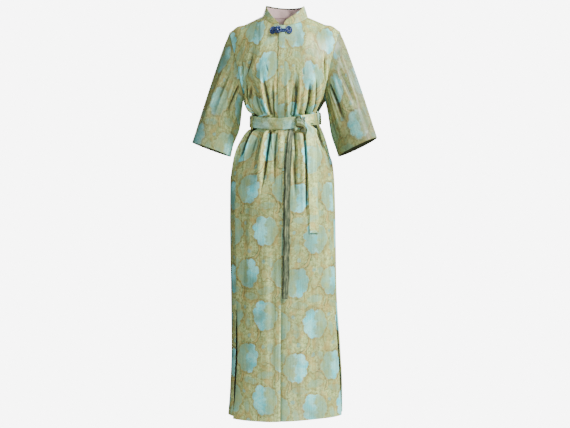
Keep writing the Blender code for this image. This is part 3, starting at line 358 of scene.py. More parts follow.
# Creases of each sleeve: across is the turn in degrees, up the front from under the arm, and z the share
# of the way from armhole to cuff.
SLEEVE_CREASES = {
    -1: creases(
        (52, 0.02, 66, 0.62, 6, 11, 9, -9.5, 0.15, 0.6, 0.3),
        (84, 0.04, 92, 0.8, -4, 13, 11, 4.7, 0.2, 0.5, 0.4),
        (108, 0.1, 112, 0.86, 5, 11, 14, -5.3, 0.2, 0.5, 0.4),
        (140, 0.16, 136, 0.94, -4, 15, 12, 3.9, 0.25, 0.4, 0.3),
        (30, 0.24, 46, 0.92, 4, 9, 12, 3.9, 0.2, 0.5, 0.3),
        (8, 0.04, 20, 0.5, 0, 9, 8, -6.8, 0.1, 0.6, 0.3),
        (158, 0.5, 168, 0.99, 0, 12, 12, -3.4, 0.3, 0.3, 0.2),
        (222, 0.06, 226, 0.8, 4, 12, 14, -6.1, 0.2, 0.5, 0.4),
        (252, 0.04, 246, 0.88, -4, 13, 11, 4.7, 0.2, 0.5, 0.4),
        (284, 0.06, 276, 0.6, 4, 10, 10, -8.4, 0.15, 0.6, 0.3),
        (310, 0.1, 304, 0.86, 0, 11, 11, 3.9, 0.2, 0.5, 0.3),
        (338, 0.02, 330, 0.46, 0, 8, 9, -6.8, 0.1, 0.6, 0.3),
    ),
    1: creases(
        (44, 0.02, 56, 0.86, 3, 8, 8, 6, 0.1, 0.5, 0.5),
        (60, 0.04, 74, 0.74, 4, 10, 11, -10.6, 0.15, 0.6, 0.3),
        (90, 0.08, 98, 0.84, -5, 15, 12, 4.7, 0.2, 0.5, 0.4),
        (116, 0.14, 122, 0.72, 4, 12, 12, -6.5, 0.2, 0.5, 0.3),
        (146, 0.06, 144, 0.66, -3, 14, 12, 4.4, 0.2, 0.6, 0.4),
        (24, 0.2, 34, 0.96, 2, 8, 10, -5.3, 0.2, 0.5, 0.3),
        (12, 0.03, 22, 0.44, 0, 8, 8, -6.5, 0.1, 0.6, 0.3),
        (166, 0.54, 158, 0.99, 0, 12, 12, -3.8, 0.3, 0.3, 0.2),
        (218, 0.1, 224, 0.84, 4, 12, 12, -6.1, 0.2, 0.5, 0.4),
        (244, 0.05, 250, 0.8, -4, 13, 12, 4.4, 0.2, 0.5, 0.4),
        (274, 0.05, 282, 0.66, 3, 10, 11, -8.4, 0.15, 0.6, 0.3),
        (306, 0.12, 300, 0.9, 0, 11, 10, 3.9, 0.2, 0.5, 0.3),
        (334, 0.02, 326, 0.5, 0, 9, 8, -6.8, 0.1, 0.6, 0.3),
    ),
}


# --- small mathematics, on whole arrays ------------------------------------------------------------
def smooth(share):
    """0 up to 1 with level ends."""
    share = np.clip(share, 0.0, 1.0)
    return share * share * (3.0 - 2.0 * share)


def bump(distance, half_width):
    """1 in the middle, falling smoothly to 0 at half_width."""
    share = np.minimum(np.abs(distance) / half_width, 1.0)
    return np.cos(share * math.pi / 2) ** 2


def unit(vectors):
    return vectors / np.linalg.norm(vectors, axis=-1, keepdims=True)


def stack(*parts):
    return np.stack(np.broadcast_arrays(*parts), axis=-1)


def sine_cosine(degrees):
    return np.sin(np.radians(degrees)), np.cos(np.radians(degrees))


def run_along(points):
    """Distance run along a line of points, from its first one."""
    return np.concatenate(([0.0], np.cumsum(np.linalg.norm(np.diff(points, axis=0), axis=1))))


def waves(where, terms):
    """Sines added together. Each term is its height, its rate and its start, in radians."""
    return sum(height * np.sin(where * rate + start) for height, rate, start in terms)


def hermite(start, leaving, end, arriving, t):
    """Cubic curve from start to end with the given tangents."""
    return ((2 * t ** 3 - 3 * t ** 2 + 1) * start + (t ** 3 - 2 * t ** 2 + t) * leaving
            + (3 * t ** 2 - 2 * t ** 3) * end + (t ** 3 - t ** 2) * arriving)


def curve_through(keys, values, where):
    """A smooth curve through values at rising keys, read at any places, with no overshoot."""
    steps = np.diff(keys)
    rises = np.diff(values) / steps
    before, after = rises[:-1], rises[1:]
    both = before * after
    inner = np.where(both > 0, 2 * both / np.where(both > 0, before + after, 1.0), 0.0)
    slopes = np.concatenate((rises[:1], inner, rises[-1:]))
    where = np.asarray(where, dtype=float)
    i = np.clip(np.searchsorted(keys, where, side="right") - 1, 0, len(steps) - 1)
    curve = hermite(values[i], slopes[i] * steps[i], values[i + 1], slopes[i + 1] * steps[i],
                    (where - keys[i]) / steps[i])
    low = values[0] + slopes[0] * (where - keys[0])
    high = values[-1] + slopes[-1] * (where - keys[-1])
    return np.where(where <= keys[0], low, np.where(where >= keys[-1], high, curve))


def along(table, column, key, where):
    """A column of a table, read at any places between its rows."""
    order = sorted(table, key=lambda row: getattr(row, key))
    keys, values = (np.array([getattr(row, name) for row in order]) for name in (key, column))
    return curve_through(keys, values, where)


# --- the body of the gown --------------------------------------------------------------------------
def belt_shift(angle):
    sine, cosine = sine_cosine(angle)
    return WAIST_TILT * sine - WAIST_DIP * np.maximum(cosine, 0.0) ** WAIST_FALL


def body_sizes(z):
    """How far the body reaches to its left, right, front and back from the middle."""
    return (along(SECTIONS, column, "z", z) for column in ("left", "right", "front", "back"))


def section_point(angle, z):
    """Points of the smooth body, without its folds."""
    sine, cosine = sine_cosine(angle)
    left, right, front, back = body_sizes(
        z - belt_shift(angle) * smooth(1.0 - np.abs(z - WAIST_Z) / WAIST_SHIFT_REACH))
    wide, deep = np.where(sine > 0, left, right), np.where(cosine > 0, front, back)
    radius = (np.abs(sine / wide) ** SQUARENESS + np.abs(cosine / deep) ** SQUARENESS) ** (-1 / SQUARENESS)
    return stack(radius * sine, -radius * cosine, z)


def seam_angle(side, z):
    return along(SECTIONS, "seam_left" if side > 0 else "seam_right", "z", z)


def hem_lift(face, angle, z):
    sine = sine_cosine(angle)[0]
    lift = HEM_TILT * sine + HEM_SIDE_RISE * sine ** 2 + (HEM_BACK_RISE if face > 0 else 0.0)
    return lift * smooth((SLIT_TOP_Z - HEM_LIFT_BELOW - z) / HEM_LIFT_REACH)


def turned(angle, other):
    """The way round from other to angle, between -180 and 180 degrees."""
    return (angle - other + 180.0) % 360.0 - 180.0


def fold_depth(angle, z):
    """How far the folded cloth stands out of (+) or sinks into (-) the smooth body here."""
    height = z - WAIST_Z - belt_shift(angle)
    depth = np.zeros(np.broadcast(angle, z).shape)
    for fold in FOLDS:
        share = (np.abs(height) - BELT_HALF) / (abs(fold.reach) - BELT_HALF)
        alive = (height * fold.reach > 0) & (share < 1.0)
        held_share = np.clip(share, 0.0, 1.0)
        centre = fold.belt_angle + (fold.end_angle - fold.belt_angle) * held_share
        metres = FOLD_ARC * np.abs(turned(angle, centre))
        start = RIDGE_START if fold.depth > 0 else TROUGH_START
        held = smooth(np.abs(height) / BELT_HALF - start)
        depth += alive * (fold.depth * held * (1.0 - held_share ** FOLD_FADE)
                          * bump(metres, fold.half_width * (1.0 + FOLD_SPREAD * held_share)))
    for rise in RISES:
        depth += (rise.depth * bump(turned(angle, rise.angle), rise.half_angle)
                  * bump(z - rise.z, rise.half_height))
    return depth


def crease_depth(table, across, up, scale):
    """How far fine creases stand out at these places. scale is the metres to a unit of across."""
    depth = np.zeros(np.broadcast(across, up).shape)
    for crease in table:
        length = crease.z1 - crease.z0
        share = (up - crease.z0) / length
        inside = np.clip(share, 0.0, 1.0)
        centre = crease.a0 + (crease.a1 - crease.a0) * inside + crease.bow * 4 * inside * (1 - inside)
        apart = turned(across, centre) * scale
        reach = np.where(apart < 0, crease.left, crease.right) * (1 + crease.spread * inside)
        profile = np.maximum(1.0 - (apart / reach) ** 2, 0.0) ** 2
        ends = smooth(inside / crease.start) * smooth((1.0 - inside) / crease.fade)
        depth += crease.depth * profile * ends * ((share > 0) & (share < 1))
    return depth


def degree_metres(z):
    """Metres of cloth to a degree round the body, on the whole."""
    left, right, front, back = body_sizes(z)
    return np.radians(1.0) * ((left + right) / 2 + (front + back) / 2) / 2


def cloth_depth(angle, z):
    """Folds and fine creases together. Nothing fine rises under the belt."""
    height = np.abs(z - WAIST_Z - belt_shift(angle))
    free = smooth((height - 0.8 * BELT_HALF) / (0.5 * BELT_HALF))
    return fold_depth(angle, z) + free * crease_depth(CREASES, angle, z, degree_metres(z))


def neck_point(angle):
    sine, cosine = sine_cosine(angle)
    ahead = np.maximum(cosine, 0.0)
    deep = np.where(cosine > 0, NECK_FRONT, NECK_BACK)
    level = np.where(cosine > 0, NECK_FRONT_Z * ahead ** NECK_FALL, NECK_BACK_Z * cosine ** 2)
    return stack(NECK_HALF * sine, -deep * cosine, level - NECK_TILT * sine)


def top_point(face, side, u):
    """The top edge of a half front (face -1) or back (face 1): the neckline, then the shoulder seam."""
    angle = 90.0 * np.minimum(u, NECK_SHARE) / NECK_SHARE
    neck = neck_point(side * (angle if face < 0 else 180.0 - angle))
    tip = np.array(SHOULDER_TIP[side]) * (side, 1, 1)
    root = neck_point(side * 90.0)
    out = np.maximum((u - NECK_SHARE) / (1.0 - NECK_SHARE), 0.0)[..., None]
    return np.where(u[..., None] <= NECK_SHARE, neck, root + (tip - root) * out)


def eased_top(face, side, u, row):
    """The top edge as a row aims for it: lower rows round off its corner at the shoulder's root."""
    reach = np.minimum(CORNER_EASE * (1.0 - np.maximum(row, 0.0) ** 5), np.minimum(u, 1.0 - u) * 0.999)
    total = 0.0
    for step, weight in ((-1.0, 0.12), (-0.5, 0.24), (0.0, 0.28), (0.5, 0.24), (1.0, 0.12)):
        total = total + weight * top_point(face, side, u + step * reach)
    return total


def lift_at(lifts, u):
    lifts = np.array(lifts)
    near = smooth(u / NECK_SHARE)[..., None]
    far = (np.maximum((u - NECK_SHARE) / (1.0 - NECK_SHARE), 0.0) ** ARMHOLE_EASE)[..., None]
    return np.where(u[..., None] <= NECK_SHARE, lifts[0] * (1 - near) + lifts[1] * near,
                    lifts[1] * (1 - far) + lifts[2] * far)


def panel_point(face, side, u, row):
    """Points of the cloth. u runs from the centre line (0) to the side seam or armhole (1).

    A row below 0 is a z under the underarm, and a row from 0 to 1 climbs from there to the top edge.
    """
    u, row = np.broadcast_arrays(np.asarray(u, dtype=float), np.asarray(row, dtype=float))
    z = np.where(row < 0, row, UNDERARM_Z)
    seam = seam_angle(side, z)
    angle = side * (u * seam if face < 0 else 180.0 - u * (180.0 - seam))
    z = z + hem_lift(face, angle, z)
    low = section_point(angle, z)
    flare = (low - section_point(angle, z - FLARE_STEP)) / FLARE_STEP
    lift = lift_at(YOKE_LIFT[face], u)
    calm = 1.0 - u ** ARMHOLE_HOLD
    leaving = stack(flare[..., 0] * FLARE_X * calm, lift[..., 0] + flare[..., 1] * FLARE_Y * calm,
                    lift[..., 1])
    arriving = stack(side * lift[..., 2], lift[..., 3], lift[..., 4])
    climb = np.maximum(row, 0.0)[..., None]
    bare = np.where(row[..., None] < 0, low,
                    hermite(low, leaving, eased_top(face, side, u, row), arriving, climb))
    out = unit(stack(bare[..., 0], bare[..., 1] * OVAL_TURN, 0.0))
    calmed = 1.0 - smooth((row - YOKE_CALM) / (1.0 - YOKE_CALM))
    made = bare + out * (cloth_depth(angle, bare[..., 2]) * calmed)[..., None]
    made[..., 2] += (SHOULDER_CROWN * bump(u - CROWN_SHARE, 1.0 - CROWN_SHARE)
                     * smooth((row - CROWN_ROW) / (1.0 - CROWN_ROW)))
    return made


def slit_offset(face, row):
    share = (SLIT_TOP_Z - row) / (SLIT_TOP_Z - HEM_Z)
    return np.where(share > 0, along(SLIT_GAPE, "front" if face < 0 else "back", "share", share), 0.0)


# --- closed cloth from grids -----------------------------------------------------------------------
CLOTH = 0.0011          # brocade, one layer
RIM = 0.0008            # how far in from an edge its rounding reaches
RIM_STEPS = (0.0, 0.00010, 0.00038, RIM)
RIM_ROOM = 0.4          # shares of a step that the others keep clear of those


def grid_normals(points, tube=False):
    """Normals of a grid of points, whose rows go up and columns go round."""
    if tube:
        across = np.roll(points, -1, axis=1) - np.roll(points, 1, axis=1)
    else:
        across = np.gradient(points, axis=1)
    up = np.gradient(points, axis=0)
    return unit(np.cross(across, up))


def lengths(points, axis):
    """Distance run along an axis of a grid, from its first row or column."""
    steps = np.linalg.norm(np.diff(points, axis=axis), axis=2)
    start = np.zeros_like(np.take(steps, [0], axis=axis))
    return np.concatenate((start, np.cumsum(steps, axis=axis)), axis=axis)


def rounding(points, tube=False):
    """1 over the cloth and falling to 0 at its edges along a quarter circle."""
    made = 1.0
    for axis in (0,) if tube else (0, 1):
        run = lengths(points, axis)
        near = np.minimum(run, np.take(run, [-1], axis=axis) - run)
        share = 1.0 - np.minimum(near / RIM, 1.0)
        made = made * np.sqrt(np.maximum(1.0 - share ** 2, 0.0))
    return made


def stations(start, end, count, length, rim_start=True, rim_end=True):
    """Parameters from start to end, with the extra ones close to each edge that its rounding needs."""
    inner = np.linspace(0.0, 1.0, count)
    rim = np.array(RIM_STEPS) / length
    first = rim if rim_start else inner[:1]
    last = 1.0 - rim[::-1] if rim_end else inner[-1:]
    low, high = first[-1], last[0]
    middle = inner[(inner > low + RIM_ROOM / count) & (inner < high - RIM_ROOM / count)]
    return start + (end - start) * np.concatenate((first, middle, last))


HOLLOW_REACH = 0.011    # how far to each side the cloth is compared with itself, in metres
WELD = 1e-6             # points this near to each other are one


def flat_places(points, across=0.0, up=0.0):
    """Places in the cloth of a grid of points, laid out flat from its first row and column."""
    return np.stack((lengths(points, 1) + across, lengths(points, 0) + up), axis=-1)


def both_sides(left, right):
    """One grid from the halves of a piece, each of which starts at the centre line."""
    return np.concatenate((left[:, ::-1], right[:, 1:]), axis=1)


def standing(middle, normals, tube):
    """How far each place stands out of (+) or lies down in (-) the cloth to each side of it."""
    apart = np.linalg.norm(np.diff(middle, axis=1), axis=-1).mean()
    reach = max(1, int(round(HOLLOW_REACH / apart)))
    if reach >= middle.shape[1]:
        return np.zeros(middle.shape[:2])
    ends = {"mode": "wrap"} if tube else {"mode": "reflect", "reflect_type": "odd"}
    wider = np.pad(middle, ((0, 0), (reach + 1, reach), (0, 0)), **ends)
    run = np.cumsum(wider, axis=1)
    mean = (run[:, 2 * reach + 1:] - run[:, :-2 * reach - 1]) / (2 * reach + 1)
    return ((middle - mean) * normals).sum(axis=-1)


def put(name, data, **placing):
    """A new object in the scene."""
    made = bpy.data.objects.new(name, data)
    for key, value in placing.items():
        setattr(made, key, value)
    bpy.context.scene.collection.objects.link(made)
    return made


def new_mesh(name, points, quads, uvs, finishes, which, caps=(), stand=None):
    """A mesh object from arrays: points, four-cornered faces, a place in the cloth for each point.

    which gives each of those faces its finish, and caps are faces with more corners.
    """
    mesh = bpy.data.meshes.new("cloth_" + name)
    faces = [tuple(face) for face in quads.tolist()] + list(caps)
    mesh.from_pydata(points.tolist(), [], faces)
    layer = mesh.uv_layers.new(name="cloth")
    corners = np.empty(len(mesh.loops), dtype=np.int32)
    mesh.loops.foreach_get("vertex_index", corners)
    layer.data.foreach_set("uv", uvs[corners].astype(np.float32).ravel())
    for finish in finishes:
        mesh.materials.append(finish)
    indices = np.zeros(len(faces), dtype=np.int32)
    indices[:len(which)] = which
    mesh.polygons.foreach_set("material_index", indices)
    mesh.polygons.foreach_set("use_smooth", np.ones(len(faces), dtype=bool))
    # The standing attribute: the shaders paint shade where it is low and highlights where it is high.
    if stand is not None:
        worn = mesh.attributes.new("standing", "FLOAT", "POINT")
        worn.data.foreach_set("value", stand.astype(np.float32))
    mesh.update()
    return put("cloth_" + name, mesh)


def cloth_sheet(name, middle, normals, thick, uv, face_finish, back_finish, tube=False, worn=0.0):
    """A closed thin sheet round a grid of points, its edges rounded. thick is a number or a grid.

    The columns run so that across x up points out of the cloth. A tube's last column meets its first,
    and its places in the cloth have one column more. Its last argument is added to how far its folds stand
    out, and from that the shaders paint shade down in the folds and highlights along their crests.
    """
    rows, columns = middle.shape[:2]
    half = (thick / 2 * rounding(middle, tube))[..., None]
    outer = middle + normals * half
    inner = middle - normals * half
    stand = standing(middle, normals, tube) + worn
    if tube:
        stand = np.concatenate((stand, stand[:, :1]), axis=1)
        outer, inner = (np.concatenate((side, side[:, :1]), axis=1) for side in (outer, inner))
        columns += 1
    index = np.arange(rows * columns).reshape(rows, columns)
    under = index + rows * columns
    under[0] = index[0]
    under[-1] = index[-1]
    if not tube:
        under[:, 0] = index[:, 0]
        under[:, -1] = index[:, -1]
    front = np.stack((index[:-1, :-1], index[:-1, 1:], index[1:, 1:], index[1:, :-1]), axis=-1)
    back = np.stack((under[:-1, :-1], under[1:, :-1], under[1:, 1:], under[:-1, 1:]), axis=-1)
    quads = np.concatenate((front.reshape(-1, 4), back.reshape(-1, 4)))
    points = np.concatenate((outer.reshape(-1, 3), inner.reshape(-1, 3)))
    used = np.zeros(len(points), dtype=bool)
    used[quads] = True
    renumbered = np.cumsum(used) - 1
    uvs = np.concatenate((uv.reshape(-1, 2), uv.reshape(-1, 2)))[used]
    which = np.repeat((0, 1), len(front.reshape(-1, 4)))
    stand = np.concatenate((stand.ravel(), -stand.ravel()))[used]
    made = new_mesh(name, points[used], renumbered[quads], uvs, (face_finish, back_finish), which,
                    stand=stand)
    if tube:
        weld_seam(made.data)
    return made


def weld_seam(mesh):
    """Joins the first and last columns of a tube, which lie on each other."""
    work = bmesh.new()
    work.from_mesh(mesh)
    bmesh.ops.remove_doubles(work, verts=work.verts, dist=WELD)
    work.to_mesh(mesh)
    work.free()


# --- the brocade's place on the cloth --------------------------------------------------------------
FULLNESS = 0.16         # how much wider the cut cloth is at the waist than the worn gown
FULLNESS_REACH = 0.17   # above and below the belt
YOKE_TALL = 0.2         # about how high the yoke is


def gathered(row):
    """How much fuller the cut cloth is than the worn gown here: the belt takes up the fullness."""
    return 1.0 + FULLNESS * bump(row - WAIST_Z, FULLNESS_REACH)


def panel_uv(points, rows, side, shift):
    """Places in the cloth of a half front or back: across from its centre line, and up from the hem."""
    across = lengths(points, 1) * gathered(np.where(rows < 0, rows, UNDERARM_Z + YOKE_TALL * rows))[:, None]
    up = lengths(points, 0)
    return np.stack((side * across + shift[0], up + shift[1]), axis=-1)


# --- the gown --------------------------------------------------------------------------------------
ROW_COUNT = 250
YOKE_COUNT = 84
FRONT_COUNT = 72
BACK_COUNT = 62
PANEL_WIDE = 0.25       # about how wide a half front is, for the spacing of its columns
BACK_WIDE = 0.27        # the same for a half back, and for the yoke's rows
YOKE_RUN = 0.25
UNDER_LAP = 0.012       # how far the left front runs on under the right one
UNDER_LAP_SINK = 0.0016     # and how far below it
UNDER_LAP_DEEP = 0.012      # share of a half front by which it reaches that depth
UNDER_LAP_EASE = 0.02       # and over which it comes up again
UNDER_LAP_COLUMNS = 4
EDGE_GAP_SHARE = 0.1    # share of the right front that makes way for the gap to the left one
EDGE_SHIFT = 0.0052     # how far right of the centre plane the fronts' edge hangs at the hem
EDGE_SHIFT_REACH = 0.5
EDGE_SHIFT_SHARE = 0.25     # of a half front, over which that shift dies out
SLIT_SHARE = 0.12       # of a half panel next to its seam, which the slits' gape draws in
LAP_END_Z = -0.533
HEM_DOUBLING = 0.55     # how much thicker a turned hem is than one layer
HEM_STEP = 0.003        # height over which that thickness ends
BODY_HEM = 0.030        # how high the hem and the cuffs are turned up
CUFF_HEM = 0.028


def body_rows():
    """Rows of a front or back: z below the underarm, then the share of the yoke."""
    skirt = stations(HEM_Z, UNDERARM_Z, ROW_COUNT, UNDERARM_Z - HEM_Z, rim_end=False)
    yoke = stations(0.0, 1.0, YOKE_COUNT, YOKE_RUN, rim_start=False)
    return np.concatenate((skirt[:-1], yoke))


def edge_drift(row):
    """The fronts' edge hangs a little to the wearer's right below the lap band."""
    return -EDGE_SHIFT * smooth((LAP_END_Z - row) / EDGE_SHIFT_REACH)


def half_panel(face, side, rows, shares):
    """Outer points of a half front or back. A column at u below 0 runs on past the centre line."""
    points = panel_point(face, side, shares[None, :], rows[:, None])
    if face < 0:
        points[..., 0] += edge_drift(rows)[:, None] * (1.0 - smooth(np.abs(shares) / EDGE_SHIFT_SHARE))
    points[-1, shares >= NECK_SHARE, 1] += face * SEAM_GAP / 2
    wide = LEFT_SLIT_GAPE if face < 0 < side else 1.0
    drawn = np.where(rows <= 0, SEAM_GAP / 2 + wide * slit_offset(face, rows), 0.0)
    inwards = unit(points[:, -6] - points[:, -1])
    near = smooth(1.0 - (1.0 - shares) / SLIT_SHARE)
    points += inwards[:, None] * (drawn[:, None] * near)[..., None]
    return points


def worn_depth(face, side, points, rows, shares):
    """How far the tucks' painted shade lies in and the crests' painted highlights stand out, on half a front
    or back.
    """
    seam = seam_angle(side, np.where(rows < 0, rows, UNDERARM_Z))[:, None]
    turn = side * (shares * seam if face < 0 else 180.0 - shares * (180.0 - seam))
    return crease_depth(PAINTED_SHADE_AND_HIGHLIGHT, turn, points[..., 2], degree_metres(points[..., 2]))


def hem_thickness(points, height):
    """The hem is turned up to this height above the first row, so the cloth is double there."""
    return CLOTH * (1.0 + HEM_DOUBLING * (1.0 - smooth((lengths(points, 0) - height) / HEM_STEP)))


def hemmed_sheet(name, points, normals, uv, finish, back_finish, hem, **more):
    """A sheet under its outer points, with its hem at the first row."""
    made = cloth_sheet(name, points - normals * CLOTH / 2, normals, hem_thickness(points, hem), uv,
                       finish, back_finish, **more)
    return made, points, normals


def add_front(name, side, finish, back_finish):
    rows = body_rows()
    lap = 0.0 if side < 0 else UNDER_LAP
    count = FRONT_COUNT if side < 0 else FRONT_COUNT + UNDER_LAP_COLUMNS
    shares = stations(-lap / PANEL_WIDE, 1.0, count, PANEL_WIDE + lap)
    points = half_panel(-1, side, rows, shares)
    worn = worn_depth(-1, side, points, rows, shares)
    if side < 0:
        points[..., 0] -= SEAM_GAP / 2 * (1.0 - smooth(shares / EDGE_GAP_SHARE))
    uv = panel_uv(points, rows, side, PATTERN_SHIFT[name])
    uv[..., 0] -= lap
    if side < 0:
        points, uv, worn = points[:, ::-1], uv[:, ::-1], worn[:, ::-1]
    normals = grid_normals(points)
    if side > 0:
        under = 1.0 - smooth((shares + UNDER_LAP_DEEP) / UNDER_LAP_EASE)
        points = points - normals * (UNDER_LAP_SINK * under)[None, :, None]
    return hemmed_sheet(name, points, normals, uv, finish, back_finish, BODY_HEM, worn=worn)


def add_back(name, finish, back_finish):
    rows = body_rows()
    shares = stations(0.0, 1.0, BACK_COUNT, BACK_WIDE, rim_start=False)
    halves = []
    for side in (1, -1):
        points = half_panel(1, side, rows, shares)
        halves.append((points, panel_uv(points, rows, side, PATTERN_SHIFT[name]),
                       worn_depth(1, side, points, rows, shares)))
    points, uv, worn = (both_sides(left, right) for left, right in zip(*halves))
    return hemmed_sheet(name, points, grid_normals(points), uv, finish, back_finish, BODY_HEM, worn=worn)


# --- sleeves ---------------------------------------------------------------------------------------
SLEEVE_ROWS = 130
ARM_STEPS = 12      # columns to each of the armhole's straight stretches
SLEEVE_LONG = 0.36      # about how long a sleeve is, for the spacing of its rows
SLEEVE_CREASE_SHARE = 0.75      # of the depth that its table gives each crease


def armhole(side):
    """Points round the armhole: from the underarm up the front, then down the back. The solids' armhole
    has YOKE_STEPS stretches on each face, which these follow."""
    climb = np.arange(0, YOKE_STEPS * ARM_STEPS) / (YOKE_STEPS * ARM_STEPS)
    return np.concatenate((panel_point(-1, side, 1.0, climb), panel_point(1, side, 1.0, 1.0 - climb)))


def sleeve_grid(side):
    """Outer points of a sleeve, from the armhole (first row) down to the cuff."""
    first = armhole(side)
    count = len(first)
    (out_x, out_z), (in_x, in_z) = CUFF[side]
    middle = np.array((side * (out_x + in_x) / 2, CUFF_Y, (out_z + in_z) / 2))
    outward = np.array((side * (out_x - in_x) / 2, 0.0, (out_z - in_z) / 2))
    forward = np.array((0.0, -1.0, CUFF_TILT)) * CUFF_HALF_DEPTH
    turn = np.arange(count) / count
    angle = 2 * np.pi * turn
    cuff = middle - outward * np.cos(angle)[:, None] + forward * np.sin(angle)[:, None]
    share = stations(0.0, 1.0, SLEEVE_ROWS, SLEEVE_LONG)[:, None]
    rings = first[None] * (1 - share[..., None]) + cuff[None] * share[..., None]
    out = unit(rings - rings.mean(axis=1, keepdims=True))
    lift = SLEEVE_ROUNDING * (0.5 - 0.5 * np.cos(angle))[None] * np.sin(np.pi * share ** 0.6)
    hang_along, hang_depth = SLEEVE_HANG[side]
    lift = lift + (hang_depth * bump(0.5 - np.abs(turn - 0.5), HANG_HALF_TURN)[None]
                   * bump(share - hang_along, HANG_HALF_ALONG))
    for fold in SLEEVE_FOLDS:
        apart = (turn - fold.turn + 0.5) % 1.0 - 0.5
        lift = lift + (fold.depth * bump(apart, fold.half_turn)[None]
                       * bump(share - fold.along, fold.half_along))
    girth = lengths(rings, 1)[:, -1].mean()
    lift = lift + SLEEVE_CREASE_SHARE * crease_depth(SLEEVE_CREASES[side], turn[None] * 360.0, share,
                                                     girth / 360.0)
    rings = rings + out * (lift * smooth(share / SLEEVE_SET))[..., None]
    rings[0] = rings[0] + ARMHOLE_GAP * unit(rings[6] - rings[0])
    return rings


def add_sleeve(name, side, finish, back_finish):
    rings = sleeve_grid(side)[::-1]
    places = flat_places(np.concatenate((rings, rings[:, :1]), axis=1))
    girth = places[..., 0]
    across = girth - girth[:, -1:] / 2
    uv = np.stack((-side * across + PATTERN_SHIFT[name][0], places[..., 1] + PATTERN_SHIFT[name][1]), axis=-1)
    if side < 0:
        rings, uv = rings[:, ::-1], uv[:, ::-1]
    return hemmed_sheet(name, rings, grid_normals(rings, tube=True), uv, finish, back_finish, CUFF_HEM,
                        tube=True)


# --- painting with shader nodes --------------------------------------------------------------------
class Value:
    """A number that a shader works out, joined up with ordinary arithmetic."""

    def __init__(self, paint, socket):
        self.paint = paint
        self.socket = socket

    def __add__(self, other):
        return self.paint.math("ADD", self, other)

    __radd__ = __add__

    def __sub__(self, other):
        return self.paint.math("SUBTRACT", self, other)

    def __rsub__(self, other):
        return self.paint.math("SUBTRACT", other, self)

    def __mul__(self, other):
        return self.paint.math("MULTIPLY", self, other)

    __rmul__ = __mul__

    def __truediv__(self, other):
        return self.paint.math("DIVIDE", self, other)


class Paint:
    """Builds a material's nodes."""

    def __init__(self, name):
        self.material = bpy.data.materials.new(name)
        self.material.use_nodes = True
        self.nodes = self.material.node_tree.nodes
        self.links = self.material.node_tree.links
        self.shader = self.nodes["Principled BSDF"]

    def set(self, node, key, value):
        if isinstance(value, Value):
            self.links.new(value.socket, node.inputs[key])
        else:
            node.inputs[key].default_value = value

    def node(self, kind, inputs, output=0, **settings):
        """What a new node gives, from its settings and its inputs: a dict, or a list of the first ones."""
        made = self.nodes.new("ShaderNode" + kind)
        for key, setting in settings.items():
            setattr(made, key, setting)
        for key, value in inputs.items() if isinstance(inputs, dict) else enumerate(inputs):
            self.set(made, key, value)
        return Value(self, made.outputs[output])

    def finish(self, **inputs):
        """Sets the shader's inputs, whose names are written with _ for a space, and ends the material."""
        for key, value in inputs.items():
            self.set(self.shader, key.replace("_", " "), value)
        return self.material

    def math(self, operation, *values):
        return self.node("Math", values, operation=operation)

    def vector(self, operation, *values):
        output = "Value" if operation in ("LENGTH", "DISTANCE") else "Vector"
        return self.node("VectorMath", values, output, operation=operation)

    def scaled(self, vector, by):
        return self.node("VectorMath", {0: vector, "Scale": by}, operation="SCALE")

    def place(self):
        """Where this is on the cloth, in metres: across and up."""
        return self.node("UVMap", (), uv_map="cloth")

    def fold(self, low, high):
        """Painted shade down in the sharp folds and painted highlights along their crests, from the standing
        attribute.
        """
        stand = self.node("Attribute", (), "Fac", attribute_name="standing")
        return self.ramp(stand, -0.0026, -0.0001, low, 1.0) * self.ramp(stand, 0.0003, 0.0018, 1.0, high)

    def twist(self, length, girth):
        """The strands of a cord, from -1 to 1: each comes round again after this length and this girth."""
        run, turn = self.split(self.place())
        return self.math("SINE", run * (2 * math.pi / length) + turn * (2 * math.pi / girth))

    def split(self, vector):
        across = self.node("SeparateXYZ", (vector,))
        return across, Value(self, across.socket.node.outputs[1])

    def noise(self, vector, scale, detail=2.0, rough=0.5, stretch=None, colour=False):
        if stretch:
            vector = self.vector("MULTIPLY", vector, stretch)
        return self.node("TexNoise", {"Vector": vector, "Scale": scale, "Detail": detail, "Roughness": rough},
                         "Color" if colour else "Fac")

    def web(self, vector, scale, stretch):
        """Distance from the edges of a network of rounded cells."""
        return self.node("TexVoronoi", {"Vector": self.vector("MULTIPLY", vector, stretch), "Scale": scale},
                         "Distance", feature="DISTANCE_TO_EDGE")

    def ramp(self, value, low, high, to_low=0.0, to_high=1.0):
        """value's way from low to high as to_low to to_high, held level outside."""
        return self.node("MapRange", (value, low, high, to_low, to_high), interpolation_type="SMOOTHSTEP")

    def mix(self, share, first, second):
        first, second = (colour if isinstance(colour, Value) else (*colour, 1.0)
                         for colour in (first, second))
        return self.node("Mix", {0: share, 6: first, 7: second}, 2, data_type="RGBA")

    def least(self, *values):
        return reduce(lambda one, other: self.math("MINIMUM", one, other), values)

    def most(self, *values):
        return reduce(lambda one, other: self.math("MAXIMUM", one, other), values)

    def bump(self, height, distance, strength=1.0, under=None):
        inputs = {"Height": height, "Distance": distance, "Strength": strength}
        if under:
            inputs["Normal"] = under
        return self.node("Bump", inputs)


# The woven design repeats on a cell this wide and high, in metres.
CELL = (0.132, 0.289)
AQUA = (0.100, 0.640, 0.720)
AQUA_PALE = (0.280, 0.900, 0.920)
AQUA_DULL = (0.150, 0.460, 0.410)
PETAL = (0.220, 0.450, 0.310)
LEAF = (0.270, 0.430, 0.220)
GROUND = (0.345, 0.430, 0.165)
GROUND_DEEP = (0.180, 0.230, 0.085)
GROUND_PALE = (0.500, 0.610, 0.250)
GOLD = (0.490, 0.370, 0.110)
GOLD_DEEP = (0.250, 0.190, 0.058)
LINE = (0.060, 0.075, 0.040)

